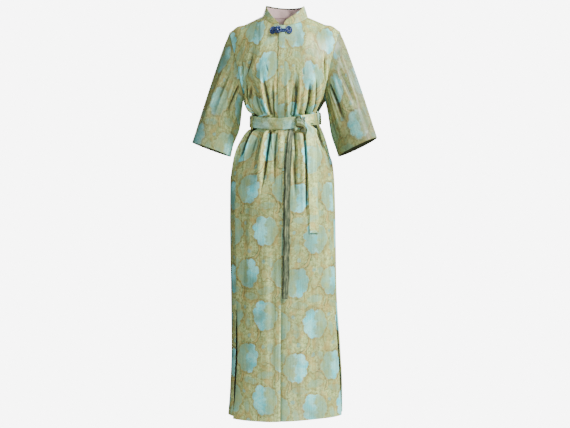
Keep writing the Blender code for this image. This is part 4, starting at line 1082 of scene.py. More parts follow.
# The two flowers, in millimetres: where in the cell each has its middle, and the discs (x, y and radius from
# there) that make its scalloped side and its smooth one.
FLOWERS = (
    ((33, 72), ((-15, 34, 18), (-28, 12, 17), (-24, -14, 17), (-10, -34, 16), (-10, 0, 19)),
     ((12, 22, 25), (18, 0, 27), (11, -26, 22))),
    ((99, 217), ((14, 31, 17), (26, 8, 17), (21, -17, 17), (8, -36, 15), (8, -4, 19)),
     ((-9, 20, 27), (-17, -4, 28), (-10, -27, 21))),
)
WARP = (1900.0, 160.0, 1.0)         # how finely the threads are drawn, across and up
FILLING = (170.0, 1500.0, 1.0)


class Design:
    """The brocade's design, for a place on the cloth that the weave has made a little uneven."""

    def __init__(self, paint, place):
        self.paint = paint
        self.place = place

    def away(self, x, y):
        """Vector to this place from the nearest middle of a motif that repeats at (x, y) millimetres."""
        shifted = self.paint.vector("SUBTRACT", self.place, (x / 1000, y / 1000, 0.0))
        half = (CELL[0] / 2, CELL[1] / 2, 1.0)
        return self.paint.vector("WRAP", shifted, half, tuple(-v for v in half))

    def disc(self, away, x, y, radius):
        """Distance outside a disc, and below 0 inside it."""
        return self.paint.vector("DISTANCE", away, (x / 1000, y / 1000, 0.0)) - radius / 1000

    def union(self, away, discs):
        return self.paint.least(*(self.disc(away, *disc) for disc in discs))

    def oval(self, away, x, y, wide, tall, lean=0.0):
        """Distance outside an oval that leans by so many degrees, near enough, and below 0 inside it."""
        moved = self.paint.vector("SUBTRACT", away, (x / 1000, y / 1000, 0.0))
        if lean:
            moved = self.paint.node("VectorRotate", {"Vector": moved, "Angle": math.radians(lean)},
                                    rotation_type="Z_AXIS")
        scaled = self.paint.vector("MULTIPLY", moved, (1000 / wide, 1000 / tall, 0.0))
        return (self.paint.vector("LENGTH", scaled) - 1.0) * (min(wide, tall) / 1000)

    def inside(self, distance, soft=0.0010):
        return self.paint.ramp(distance, soft, -soft)

    def line(self, distance, at, half, soft=0.0006):
        """1 on a line that runs at this distance outside a shape."""
        off = self.paint.math("ABSOLUTE", distance - at)
        return self.paint.ramp(off, half + soft, half - soft)

    def stem(self, x, sway, phase):
        """Distance from a stem that sways about x as it climbs, and comes back on itself each cell."""
        across, up = self.paint.split(self.place)
        swing = self.paint.math("SINE", up * (2 * math.pi / CELL[1]) + phase)
        off = across - swing * (sway / 1000) - x / 1000
        return self.paint.math("ABSOLUTE", self.paint.math("WRAP", off, CELL[0] / 2, -CELL[0] / 2))

    def arc(self, away, radius, low, high):
        """Distance from an arc to the right of its centre, between two heights."""
        across, up = self.paint.split(away)
        ring = self.paint.math("ABSOLUTE", self.paint.vector("LENGTH", away) - radius / 1000)
        off = self.paint.most(low / 1000 - up, up - high / 1000, 0.0 - across, 0.0)
        return ring + off


def brocade(name, bright=1.0, bold=1.0, melt=0.0):
    """Sage and gold brocade with blue flowers, woven in satin floats on a duller ground.

    bright is how light it is, and its lighter and darker copies paint light and shade; bold how strong its
    lines are, and melt how far its flowers fade into the ground.
    """
    p = Paint(name)
    flat = p.place()
    drift = p.vector("SUBTRACT", p.noise(flat, 70.0, 2.0, colour=True), (0.5, 0.5, 0.5))
    bent = p.vector("ADD", flat, p.vector("MULTIPLY", drift, (0.0120, 0.0120, 0.0)))
    d = Design(p, bent)

    # the ground, its mottling and the network of fine gold tendrils
    cloud = p.noise(flat, 30.0, 3.0, 0.6)
    tuft = p.noise(flat, 110.0, 3.0, 0.7)
    fleck = p.noise(flat, 300.0, 2.0, 0.6)
    warp = p.noise(flat, 9.0, 2.0, 0.5, stretch=(34.0, 1.3, 1.0))
    patch = p.noise(flat, 23.0, 2.0, 0.5, stretch=(1.5, 1.0, 1.0))
    # sheen: a noise that paints a sheen, as lighter and darker patches across the cloth.
    sheen = p.noise(flat, 12.0, 1.0, 0.5)
    colour = p.mix(p.ramp(cloud * 0.6 + tuft * 0.4, 0.40, 0.58), GROUND_PALE, GROUND)
    colour = p.mix(p.ramp(tuft * 0.6 + fleck * 0.4, 0.47, 0.60) * 0.70, colour, GROUND_DEEP)
    colour = p.mix(p.ramp(patch, 0.50, 0.66) * 0.55, colour, GOLD)
    web = p.web(bent, 36.0, (1.0, 0.72, 1.0))
    vine = p.ramp(web, 0.200, 0.020) * p.ramp(cloud, 0.46, 0.58)
    colour = p.mix(vine * (0.34 * bold), colour, GOLD)
    colour = p.mix(p.ramp(web, 0.040, 0.015) * p.ramp(sheen, 0.44, 0.54) * (0.30 * bold), colour, LINE)

    # stems, arcs and the small leaves and buds
    stems = p.least(d.stem(2, 11, 0.4), d.stem(66, 13, 2.9))
    colour = p.mix(d.line(stems, 0.0, 0.0012, 0.0012) * (0.60 * bold), colour, GOLD_DEEP)
    both = p.least(d.arc(d.away(32, 158), 47, -24, 44), d.arc(d.away(101, 18), 44, -40, 22))
    colour = p.mix(d.line(both, 0.0, 0.0028, 0.0012) * (0.55 * bold), colour, GOLD)
    colour = p.mix(d.line(both, 0.0046, 0.0009, 0.0010) * (0.85 * bold), colour, LINE)
    near_first = d.away(104, 66)
    near_second = d.away(30, 214)
    leaves = p.least(
        d.oval(near_first, -6, -14, 10, 25, -8), d.oval(near_first, 8, 72, 27, 12, 12),
        d.oval(near_second, 4, -56, 29, 13, -10), d.oval(near_second, 24, 38, 11, 16, -24))
    buds = p.least(
        d.disc(near_first, -17, 34, 6.5), d.disc(near_second, -2, 42, 7), d.disc(near_first, 2, -62, 7.5))
    ring = d.oval(near_second, 1, -2, 12, 19, 6)
    small = p.least(leaves, buds, ring)
    faded = p.ramp(cloud, 0.38, 0.60, 0.80, 0.25)
    colour = p.mix(d.inside(leaves, 0.0030) * faded, colour, p.mix(p.ramp(warp, 0.35, 0.68), LEAF, PETAL))
    colour = p.mix(d.inside(buds, 0.0026) * 0.55, colour, AQUA_DULL)
    colour = p.mix(d.inside(ring, 0.0020) * 0.5, colour, GROUND_PALE)
    colour = p.mix(d.line(ring, -0.0045, 0.0009) * (0.6 * bold), colour, GOLD)
    drawn = d.line(small, 0.0015, 0.0012, 0.0012) * p.ramp(cloud, 0.40, 0.58)
    colour = p.mix(drawn * (0.60 * bold), colour, GOLD_DEEP)

    # the large flowers: scalloped and blue on one side, smooth and green on the other
    floats = None
    for place, lobe_discs, petal_discs in FLOWERS:
        away = d.away(*place)
        lobes = d.union(away, lobe_discs)
        petal = d.union(away, petal_discs)
        flower = p.least(lobes, petal)
        green = p.ramp(lobes - petal + (warp - 0.5) * 0.034 + (tuft - 0.5) * 0.040, -0.002, 0.018)
        # The flowers' blue goes from dull to bright to pale with the sheen noise: painted sheen, along with
        # the cloud's tone that differs at random.
        blue = p.mix(p.ramp(sheen, 0.36, 0.54), AQUA_DULL, AQUA)
        blue = p.mix(p.ramp(cloud * 0.5 + sheen * 0.5, 0.44, 0.56) * 0.80, blue, AQUA_PALE)
        tint = p.mix(green, blue, p.mix(p.ramp(patch, 0.42, 0.62), PETAL, LEAF))
        tint = p.mix(p.ramp(tuft * 0.5 + fleck * 0.5, 0.50, 0.62) * 0.22, tint, GROUND_DEEP)
        shape = d.inside(flower, 0.0030 + 0.0140 * melt) * (1.0 - 0.7 * melt)
        colour = p.mix(shape * p.ramp(cloud, 0.34, 0.60, 0.95, 0.72), colour, tint)
        drawn = d.line(flower, 0.0028, 0.0018, 0.0016) * p.ramp(tuft, 0.36, 0.54, 0.35, 1.0)
        colour = p.mix(drawn * (0.80 * bold), colour, GOLD_DEEP)
        colour = p.mix(d.line(flower, 0.0068, 0.0007, 0.0009) * (0.45 * bold), colour, LINE)
        floats = shape if floats is None else p.most(floats, shape)

    # threads: warp streaks, then the weave itself; the sheen noise adds a painted sheen, and fold() painted
    # shade in the folds and painted highlights on their crests
    streak = p.ramp(warp, 0.25, 0.75, 0.84 * bright, 1.14 * bright)
    thread = p.noise(flat, 1.0, 1.0, 0.5, stretch=WARP)
    filling = p.noise(flat, 1.0, 1.0, 0.5, stretch=FILLING)
    tone = (streak * p.ramp(thread + filling, 0.7, 1.3, 0.86, 1.12)
            * p.ramp(sheen, 0.30, 0.70, 0.90, 1.10) * p.fold(0.22, 1.50))
    shaped = p.bump(floats * 0.6 + d.inside(small) * 0.4, 0.00025, 0.5)
    return p.finish(
        Base_Color=p.scaled(colour, tone),
        Roughness=p.ramp(floats + fleck * 0.3, 0.0, 1.2, 0.42, 0.34),
        Normal=p.bump(thread + filling, 0.00012, 0.35, under=shaped),
        Specular_IOR_Level=0.22)


def plain_cloth(name, first, second, roughness, sheen=0.15, pitch=1400.0, streak=None):
    """A plain weave: two near colours clouded together, perhaps streaks of a third, and its threads."""
    p = Paint(name)
    flat = p.place()
    cloud = p.noise(flat, 60.0, 3.0, 0.6)
    thread = p.noise(flat, 1.0, 1.0, 0.5, stretch=(pitch, 120.0, 1.0))
    filling = p.noise(flat, 1.0, 1.0, 0.5, stretch=(120.0, pitch, 1.0))
    colour = p.mix(p.ramp(cloud * 0.6 + (thread + filling) * 0.2, 0.38, 0.62), first, second)
    if streak:
        drawn = p.noise(flat, 1.0, 3.0, 0.6, stretch=(190.0, 22.0, 1.0))
        colour = p.mix(p.ramp(drawn, 0.52, 0.62) * 0.8, colour, streak)
        colour = p.mix(p.ramp(drawn, 0.44, 0.36) * 0.6, colour, tuple(0.45 * c for c in second))
    return p.finish(
        # fold() paints shade in the folds and highlights on their crests.
        Base_Color=p.scaled(colour, p.fold(0.35, 1.35)),
        Roughness=p.ramp(cloud, 0.3, 0.7, roughness - 0.05, roughness + 0.05),
        Normal=p.bump(thread + filling, 0.00010, 0.4),
        Specular_IOR_Level=0.3,
        Sheen_Weight=sheen)


def satin_cord(name):
    """Royal blue satin cord: twisted strands, along a cord whose places run along and round it."""
    p = Paint(name)
    twist = p.twist(0.0022, 0.004)
    cloud = p.noise(p.place(), 320.0, 2.0, 0.6)
    # Two blues clouded at random, a little darker along the twist's grooves as painted shade.
    colour = p.mix(p.ramp(twist * 0.25 + cloud, 0.25, 0.85), (0.004, 0.014, 0.075), (0.018, 0.066, 0.250))
    return p.finish(
        Base_Color=colour, Roughness=p.ramp(cloud, 0.3, 0.7, 0.22, 0.32),
        Normal=p.bump(twist, 0.00020, 0.45), Specular_IOR_Level=0.42, Sheen_Weight=0.2)


def thread_paint(name, colour):
    """Sewing thread: a twist along each stitch, darker along its grooves as painted shade."""
    p = Paint(name)
    twist = p.twist(0.0009, 0.001)
    return p.finish(
        Base_Color=p.mix(p.ramp(twist, -1.0, 1.0), colour, tuple(0.6 * c for c in colour)),
        Normal=p.bump(twist, 0.00005, 0.4), Roughness=0.55)


# --- trimmings on the fronts -----------------------------------------------------------------------
LAP_OUTER_X = -0.0152
LAP_EDGE_X = 0.0062
LAP_CLEAR = 0.0009      # between the band and the fronts under it
LAP_TOP = 0.985         # share of the yoke at which it ends
LAP_WAVES = ((0.0005, 95, 0), (0.0004, 41, 1))      # of its free edge
LAP_CROWN = 0.0007
FROG_Z = -0.0595
FROG_RIGHT_X = -0.0350
FROG_LEFT_X = 0.0195
FROG_KNOT_X = -0.0160


def front_at(x, row):
    """Points of the fronts' outside at these x and rows."""
    x, row = np.broadcast_arrays(np.asarray(x, dtype=float), np.asarray(row, dtype=float))
    tries = np.linspace(0.0, 0.5, 41)
    found = []
    for side in (-1, 1):
        reached = side * panel_point(-1, side, tries, row[..., None])[..., 0]
        last = np.clip((reached < np.abs(x)[..., None]).sum(axis=-1), 1, len(tries) - 1)
        low = np.take_along_axis(reached, last[..., None] - 1, axis=-1)[..., 0]
        high = np.take_along_axis(reached, last[..., None], axis=-1)[..., 0]
        u = tries[last - 1] + (np.abs(x) - low) / (high - low) * (tries[1] - tries[0])
        found.append(panel_point(-1, side, u, row))
    return np.where((x >= 0)[..., None], found[1], found[0])


def add_lap(name, finish, back_finish):
    """The band down the right front's edge, which laps over the left front."""
    rows = np.concatenate((stations(LAP_END_Z, UNDERARM_Z, 60, 0.24, rim_end=False)[:-1],
                           stations(0.0, LAP_TOP, 70, YOKE_RUN, rim_start=False)))
    wide = LAP_EDGE_X - LAP_OUTER_X
    xs = stations(LAP_OUTER_X, LAP_EDGE_X, 14, wide)
    across = xs[None] + waves(rows, LAP_WAVES)[:, None] * smooth((xs[None] - LAP_OUTER_X) / 0.02)
    under = front_at(across, rows[:, None])
    normals = grid_normals(under)
    crown = LAP_CROWN * np.sin(np.pi * np.clip((xs - LAP_OUTER_X) / wide, 0, 1)) ** 0.5
    middle = under + normals * (LAP_CLEAR + CLOTH / 2 + crown[None, :, None])
    up = lengths(under, 0)
    uv = np.stack((across + PATTERN_SHIFT["front_right"][0], up + PATTERN_SHIFT[name][1]), axis=-1)
    return cloth_sheet(name, middle, normals, CLOTH, uv, finish, back_finish), under, normals


# --- collar ----------------------------------------------------------------------------------------
def collar_point(angle, share):
    sine, cosine = sine_cosine(angle)
    foot = neck_point(angle)
    deep = np.where(cosine > 0, COLLAR_TOP_FRONT, COLLAR_TOP_BACK)
    height = np.where(cosine > 0, COLLAR_HEIGHT,
                      COLLAR_HEIGHT + (COLLAR_BACK_HEIGHT - COLLAR_HEIGHT) * cosine ** 2)
    top = stack(COLLAR_TOP_HALF * sine, -deep * cosine, foot[..., 2] + height)
    return foot + (top - foot) * share[..., None]


COLLAR_LEFT_ANGLE = 1.5     # the left front of the collar comes nearer the centre than the right one
COLLAR_LEFT_FALL = 0.50     # how late along each front its top edge falls: less is later
COLLAR_RIGHT_FALL = 0.92
COLLAR_THICK = 0.0024
COLLAR_SWELL = ((0.0008, 5, 0), (0.0006, 11, math.radians(40.0)))
COLLAR_DIP = 0.0036     # how far its rim comes down on the wearer's right
LINING_THICK = 0.0010
LINING_CLEAR = 0.0006
# Where the lining stops short, more towards the wearer's left, the collar's dark back shows: painted shade
# inside the rim.
LINING_SHORT = 0.14     # share of the collar's height by which the lining stops below the rim
LINING_INSET = 1.6      # degrees by which it stops before the front edges


def collar_grid(short=0.0, inset=0.0):
    """Outer points of the stand collar, whose fronts are rounded: their top edge falls along an oval."""
    angles = stations(COLLAR_LEFT_ANGLE + inset, 360.0 - COLLAR_FIRST_ANGLE - inset, 160, 0.40)
    near = np.minimum(angles, 360.0 - angles)
    first = np.where(angles < 180.0, COLLAR_LEFT_ANGLE, COLLAR_FIRST_ANGLE)
    over = np.clip(1.0 - (near - first) / (COLLAR_CURVE_ANGLE - first), 0.0, 1.0)
    fall = np.where(angles < 180.0, COLLAR_LEFT_FALL, COLLAR_RIGHT_FALL)
    top = COLLAR_END_SHARE + (1 - COLLAR_END_SHARE) * (1.0 - over ** 2) ** fall
    shares = stations(0.0, 1.0, 16, 0.04)[:, None]
    grid = collar_point(angles[None], shares * (top - short * (1.0 + bump(angles - 72.0, 50.0)))[None])
    grid[..., 2] += SEAM_GAP - COLLAR_DIP * shares * bump(angles - 268.0, 30.0)
    swell = np.sin(np.pi * shares) * waves(np.radians(angles), COLLAR_SWELL)
    out = unit(stack(grid[..., 0], grid[..., 1], 0.0))
    return grid + out * swell[..., None]


def add_collar(name, lining_name, finish, back_finish, lining):
    outer = collar_grid()
    normals = grid_normals(outer)
    uv = flat_places(outer, *PATTERN_SHIFT[name])
    made = cloth_sheet(name, outer - normals * COLLAR_THICK / 2, normals, COLLAR_THICK, uv,
                       finish, back_finish)
    lower = collar_grid(LINING_SHORT, LINING_INSET)
    normals = grid_normals(lower)
    inner = cloth_sheet(lining_name, lower - normals * (COLLAR_THICK + LINING_CLEAR), normals, LINING_THICK,
                        uv, lining, lining)
    return made, inner


NECK_LINING_START = 0.55    # share of the yoke up which it starts
NECK_LINING_SIZE = 0.11     # about how high it is, and how wide each half
NECK_LINING_THICK = 0.0009
NECK_LINING_CLEAR = 0.0024
NECK_TUCK = 0.90        # share of the yoke above which it is tucked up and in, behind the collar's foot
NECK_TUCK_UP = 0.0060
NECK_TUCK_IN = 0.0022


def add_neck_lining(name, finish):
    """The lining inside the back neck, hung from the neckline between the shoulder seams."""
    rows = stations(NECK_LINING_START, 1.0, 34, NECK_LINING_SIZE)
    shares = stations(0.0, NECK_SHARE, 30, NECK_LINING_SIZE, rim_start=False)
    points = both_sides(*(panel_point(1, side, shares[None], rows[:, None]) for side in (1, -1)))
    normals = grid_normals(points)
    tucked = smooth((rows - NECK_TUCK) / (1.0 - NECK_TUCK))[:, None]
    points[..., 2] += NECK_TUCK_UP * tucked
    points = points - normals * (NECK_TUCK_IN * tucked)[..., None]
    ripple = 0.0006 * np.sin(points[..., 0] * 150.0) * np.sin(points[..., 2] * 60.0)
    return cloth_sheet(name, points - normals * (NECK_LINING_CLEAR + ripple[..., None]), normals,
                       NECK_LINING_THICK, flat_places(points), finish, finish)


# --- belt ------------------------------------------------------------------------------------------
BELT_CLEAR = 0.0031     # between the smooth waist and the belt
BELT_WALL = 0.003
KNOT_X = 0.0570
WAIST_DEPTH = 0.086
KNOT_ANGLE = math.degrees(math.atan2(KNOT_X, WAIST_DEPTH))
KNOT_PULL = 26.0        # degrees to each side of the knot in which the band creases more deeply
BAND_COUNT = 300
BAND_THICK = 0.0026
BAND_EDGE = ((0.0007, 11, 0), (0.0005, 23, 1))      # its edges' waves
BAND_PUFF = 0.0012
BELT_THICK = 0.0024     # of the belt's ends, its cloth folded double and pressed
TAIL_ROWS = 150
HALVINGS = 26           # steps of a search for an angle, each of which halves what is left of 90 degrees


def around(angle, z):
    """The level direction round the smooth body, and the one out of it."""
    way = unit(section_point(angle + 1.0, z) - section_point(angle - 1.0, z))
    return way, unit(np.cross(way, UP))


def belt_point(angle, height, stand_off):
    """Points over the smooth waist, height above the belt's middle."""
    z = WAIST_Z + belt_shift(angle) + height
    return section_point(angle, z) + around(angle, z)[1] * np.asarray(stand_off)[..., None]


def add_band(name, finish):
    """The belt round the waist, under its knot."""
    angles = np.arange(BAND_COUNT) * 360.0 / BAND_COUNT
    h = stations(-1.0, 1.0, 15, 2 * BELT_HALF)[:, None]
    turns = np.radians(angles)[None]
    crush = 0.0010 * np.sin(turns * 7 + 0.6) + 0.0008 * np.sin(turns * 13 + 2.0) * h
    crease = (0.0010 * np.sin(3.1 * h + turns * 5.0) * np.sin(turns * 9 + 1.0)
              - 0.0008 * bump(h - 0.25 * np.sin(turns * 4.0), 0.5))
    near_knot = bump(turned(angles, KNOT_ANGLE), KNOT_PULL)[None]
    off = (BELT_CLEAR + BELT_WALL / 2 + BAND_PUFF * (1.0 - h ** 2) + crush * 0.5
           + crease * (0.6 + 1.2 * near_knot))
    middle = belt_point(np.broadcast_to(angles[None], off.shape),
                        BELT_HALF * h * (1.0 + waves(turns, BAND_EDGE) / BELT_HALF), off)
    normals = grid_normals(middle, tube=True)
    run = lengths(np.concatenate((middle, middle[:, :1]), axis=1), 1)
    uv = stack(BELT_HALF * h, run) + PATTERN_SHIFT[name]
    return cloth_sheet(name, middle, normals, BAND_THICK, uv, finish, finish, tube=True)


def spread(points, count):
    """A smooth run through a few given points: count points, or one for each share of the way in count."""
    points = np.asarray(points, dtype=float)
    keys = run_along(points)
    where = np.linspace(0.0, 1.0, count) if np.isscalar(count) else count
    return np.stack([curve_through(keys / keys[-1], column, where) for column in points.T], axis=-1)


def add_ribbon(name, left, right, out, finish, thick, rows, across, crown, pleats, uv_at):
    """A strip of belt between two edges, given as a few points each, crowned towards out.

    pleats are (where across, half width, depth) of folds that run its whole length.
    """
    steps = stations(0.0, 1.0, rows, max(run_along(left)[-1], 0.01))
    shares = stations(0.0, 1.0, across, max(np.linalg.norm(left[0] - right[0]), 0.008))
    left_run, right_run = spread(left, steps), spread(right, steps)
    grid = left_run[:, None] * (1 - shares[None, :, None]) + right_run[:, None] * shares[None, :, None]
    lift = crown * np.sin(np.pi * shares) ** 0.7
    for where, half_width, depth in pleats:
        lift = lift + depth * bump(shares - where, half_width)
    grid = grid + out * lift[None, :, None]
    normals = grid_normals(grid)
    if (normals * out).sum() < 0:
        grid = grid[:, ::-1]
        normals = grid_normals(grid)
    return cloth_sheet(name, grid, normals, thick, flat_places(grid, *uv_at), finish, finish)


def knot_frame():
    """Where the knot sits on the belt, and the directions right, up and out there."""
    seat = belt_point(np.array(KNOT_ANGLE), 0.0, BELT_CLEAR + BELT_WALL)
    right, out = around(KNOT_ANGLE, seat[2])
    return seat, right, UP, out


def skirt_at(x, z):
    """Points of the skirt's body at these x and z, moved out past its ridges, and the way out there."""
    x, z = np.broadcast_arrays(x, z)
    side = np.where(x >= 0, 1.0, -1.0)
    low = np.zeros(x.shape)
    high = np.full(x.shape, 90.0)
    for _ in range(HALVINGS):
        angle = (low + high) / 2
        reached = section_point(side * angle, z)[..., 0] * side < np.abs(x)
        low = np.where(reached, angle, low)
        high = np.where(reached, high, angle)
    angle = side * (low + high) / 2
    out = around(angle, z)[1]
    return section_point(angle, z) + out * np.maximum(cloth_depth(angle, z), 0.0)[..., None], out


def drape_tail(name, table, across, finish, uv_at, sway, crown, dents):
    """A hanging end of the belt, over the skirt. Its table gives the x of its edges down its length.

    sway is how far its edges wave, and dents are (share across, z, half width, half height, depth, lean)
    of its own ridges and hollows.
    """
    top, bottom = table[0].z, table[-1].z
    steps = stations(bottom, top, TAIL_ROWS, top - bottom)
    left, right, off = (along(table, column, "z", steps)[:, None]
                        for column in ("left", "right", "stand_off"))
    steps = steps[:, None]
    shares = stations(0.0, 1.0, across, (right - left).mean())[None]
    wobble = sway * np.sin(steps * 61.0) + 0.6 * sway * np.sin(steps * 23.0 + 1.0)
    edge = sway * 0.8 * np.sin(steps * 130.0 + 0.5) * (shares - 0.5)
    x = left + (right - left) * shares + wobble * 0.6 + edge
    middle, out = skirt_at(x, steps)
    fine = (off + BELT_THICK / 2 + crown * np.sin(np.pi * shares) ** 0.8
            + 0.5 * sway * (1 + np.sin(steps * 37.0)))
    for share, z, half_width, half_height, depth, lean in dents:
        fine = fine + (depth * bump(shares - share - lean * (steps - z), half_width)
                       * bump(steps - z, half_height))
    middle = middle + out * fine[..., None]
    return cloth_sheet(name, middle, grid_normals(middle), BELT_THICK, flat_places(middle, *uv_at),
                       finish, finish)


LOOP_HALF = 0.0070
LOOP_RADIUS = 0.112     # of the waist where the loops are
LOOP_THICK = 0.0014
# how far the loop stands out at each height from the belt's middle
LOOP_PROFILE = ((-0.0265, 0.0034), (-0.0235, 0.0066), (-0.012, 0.0086), (0, 0.009), (0.012, 0.0086),
                (0.0235, 0.0066), (0.0265, 0.0034))


def add_loop(name, side, finish):
    """A flat loop on a side seam, which stands out over the belt."""
    seam = side * float(seam_angle(side, WAIST_Z))
    heights, off = spread(LOOP_PROFILE, stations(0.0, 1.0, 40, 0.055)).T[..., None]
    shares = stations(-1.0, 1.0, 12, 2 * LOOP_HALF)[None]
    middle = belt_point(seam + math.degrees(LOOP_HALF / LOOP_RADIUS) * shares, heights,
                        off + 0.0006 * (1.0 - shares ** 2))
    return cloth_sheet(name, middle, grid_normals(middle), LOOP_THICK, flat_places(middle, up=0.02 * side),
                       finish, finish)


# --- cords, knots and stitches ---------------------------------------------------------------------
def tube_mesh(name, paths, radii, finish, sides=12, closed=()):
    """One object of round cords along smooth paths, their ends rounded off."""
    points, quads, caps, uvs = [], [], [], []
    base = 0
    for number, (path, radius) in enumerate(zip(paths, radii)):
        path = np.asarray(path, dtype=float)
        ring = number in closed
        if ring:
            tangents = unit(np.roll(path, -1, axis=0) - np.roll(path, 1, axis=0))
        else:
            tangents = unit(np.gradient(path, axis=0))
        side = unit(np.cross(tangents[0], (0.31, 0.87, 0.38)))
        run = run_along(path)
        turns = 2 * np.pi * np.arange(sides) / sides
        size = np.full(len(path), radius)
        if not ring:
            near = np.minimum(run, run[-1] - run)
            size = radius * np.sqrt(np.clip(1.0 - (1.0 - np.minimum(near / radius, 1.0)) ** 2, 0.02, 1.0))
        for i, (point, tangent) in enumerate(zip(path, tangents)):
            side = unit(side - tangent * (side @ tangent))
            other = np.cross(tangent, side)
            points.append(point + size[i] * (np.cos(turns)[:, None] * side + np.sin(turns)[:, None] * other))
            uvs.append(np.stack((np.full(sides, run[i]), radius * turns), axis=-1))
        index = base + np.arange(len(path) * sides).reshape(len(path), sides)
        nxt = np.roll(index, -1, axis=1)
        last = len(path) if ring else len(path) - 1
        up = np.roll(index, -1, axis=0)[:last]
        up_next = np.roll(nxt, -1, axis=0)[:last]
        quads.append(np.stack((index[:last], nxt[:last], up_next, up), axis=-1).reshape(-1, 4))
        if not ring:
            caps += [tuple(index[0][::-1].tolist()), tuple(index[-1].tolist())]
        base += len(path) * sides
    quads = np.concatenate(quads)
    return new_mesh(name, np.concatenate(points), quads, np.concatenate(uvs), (finish,),
                    np.zeros(len(quads), dtype=int), caps)


STITCH_PITCH = 0.0030
STITCH_SHARE = 0.68     # of the pitch that a stitch shows
STITCH_SINK = 0.00005
STITCH_HIGH = 0.00016
STITCH_RADIUS = 0.00018
STITCH_SHAPE = np.array(((0.0, -1.2), (0.22, 0.4), (0.5, 0.9), (0.78, 0.4), (1.0, -1.2)))


def stitch_row(points, out):
    """Short threads along a line on the cloth: the path of each stitch, its ends dipping in."""
    run = run_along(points)
    made = []
    for start in np.arange(STITCH_PITCH / 2, run[-1] - STITCH_PITCH, STITCH_PITCH):
        where = start + STITCH_SHAPE[:, 0] * STITCH_PITCH * STITCH_SHARE
        path, up = (np.stack([np.interp(where, run, column) for column in of.T], axis=-1)
                    for of in (points, out))
        made.append(path + unit(up) * (STITCH_SHAPE[:, 1:] * STITCH_HIGH - STITCH_SINK))
    return made


def frog_seat(x):
    """Where a frog piece sits on the fronts: its seat, and the directions right, up and out."""
    climbs = np.linspace(YOKE_CALM, 1.0, 61)
    row = float(np.interp(FROG_Z, front_at(x, climbs)[..., 2], climbs))
    seat = front_at(x, row)
    across = front_at(x + 0.002, row) - front_at(x - 0.002, row)
    climb = front_at(x, row + 0.01) - front_at(x, row - 0.01)
    out = unit(np.cross(across, climb))
    right = unit(np.cross(UP, out))
    return seat, right, unit(np.cross(out, right)), out


FROG_TALL = 1.27        # the frog's pads and button are this much taller than they are wide
CORD = 0.0023           # radius of the cord, and of the two lengths of it between button and pads
NECK_CORD = 0.0029
COIL_TURNS = 2.45
BUTTON = 0.0094         # its radius, and how far its middle stands out
BUTTON_OUT = 0.0095
BUTTON_SQUASH = 0.86
BUTTON_TURNS = ((0, 0), (62, 20), (-62, -20), (90, 55), (20, 90), (-28, 78))    # lean and roll, in degrees


def frog_coil(x, radius, turn_from, way):
    """A pad of cord wound in a flat oval spiral, its middle turns standing a little proud."""
    seat, right, up, out = frog_seat(x)
    turns = np.linspace(0.0, COIL_TURNS, 150)
    reach = radius - CORD - (radius - 1.25 * CORD) * turns / COIL_TURNS
    angle = turn_from + way * 2 * np.pi * turns
    rise = 0.0007 + CORD + 0.0016 * smooth(turns / 2.2)
    return (seat + right * (reach * np.cos(angle))[:, None]
            + up * (FROG_TALL * reach * np.sin(angle))[:, None] + out * rise[:, None])


def frog_ball(x):
    """A knotted button: cord wound round a ball in crossing turns."""
    seat, right, up, out = frog_seat(x)
    centre = seat + out * BUTTON_OUT
    turn = np.linspace(0.0, 2 * np.pi, 48, endpoint=False)
    wave = 1.0 + 0.05 * np.sin(3 * turn)
    paths = []
    for lean, roll in BUTTON_TURNS:
        a, b = math.radians(lean), math.radians(roll)
        first = unit(right * math.cos(a) + up * math.sin(a))
        second = unit(out * math.cos(b) + np.cross(out, first) * math.sin(b))
        away = BUTTON * wave[:, None] * (np.cos(turn)[:, None] * first
                                         + BUTTON_SQUASH * np.sin(turn)[:, None] * second)
        paths.append(centre + away + (FROG_TALL - 1.0) * (away @ up)[:, None] * up)
    return paths


def frog_neck(x_from, x_to, height, spread_by):
    """The two cords between the button and a pad."""
    seat, _, up, out = frog_seat(x_from)
    far, _, _, far_out = frog_seat(x_to)
    paths = []
    for way in (-1, 1):
        keys = [seat + up * way * spread_by * 0.7 + out * height,
                (seat * 2 + far) / 3 + up * way * spread_by + out * height * 0.9,
                (seat + far * 2) / 3 + up * way * spread_by * 0.9 + out * height * 0.8,
                far + up * way * spread_by * 0.7 + far_out * height * 0.9]
        paths.append(spread(keys, 30))
    return paths


# --- the hanging ends ------------------------------------------------------------------------------
WIDE_TAIL = named_rows(
    "z left right stand_off",
    (-0.403, 0.079, 0.1065, 0.0062),
    (-0.425, 0.0775, 0.108, 0.0056),
    (-0.47, 0.081, 0.111, 0.0048),
    (-0.56, 0.085, 0.115, 0.004),
    (-0.66, 0.089, 0.119, 0.0034),
    (-0.754, 0.092, 0.122, 0.002),
)
NARROW_TAIL = named_rows(
    "z left right stand_off",
    (-0.393, 0.0215, 0.0375, 0.0002),
    (-0.403, 0.02, 0.037, 0.0008),
    (-0.445, 0.014, 0.034, 0.0026),
    (-0.52, 0.007, 0.03, 0.0034),
    (-0.65, 0.005, 0.027, 0.0034),
    (-0.8, 0.003, 0.025, 0.003),
    (-0.92, 0.002, 0.024, 0.0028),
    (-0.979, 0, 0.019, 0.0026),
)

# Where each piece's own cut lies on the woven design, in metres.
PATTERN_SHIFT = {
    "front_right": (0.090, -0.001), "front_left": (0.049, 0.036), "back": (0.020, 0.030),
    "sleeve_right": (0.060, 0.050), "sleeve_left": (0.020, 0.150), "collar": (0.040, 0.130),
    "lap_band": (0.0, 0.904), "belt_band": (0.030, 0.050),
}

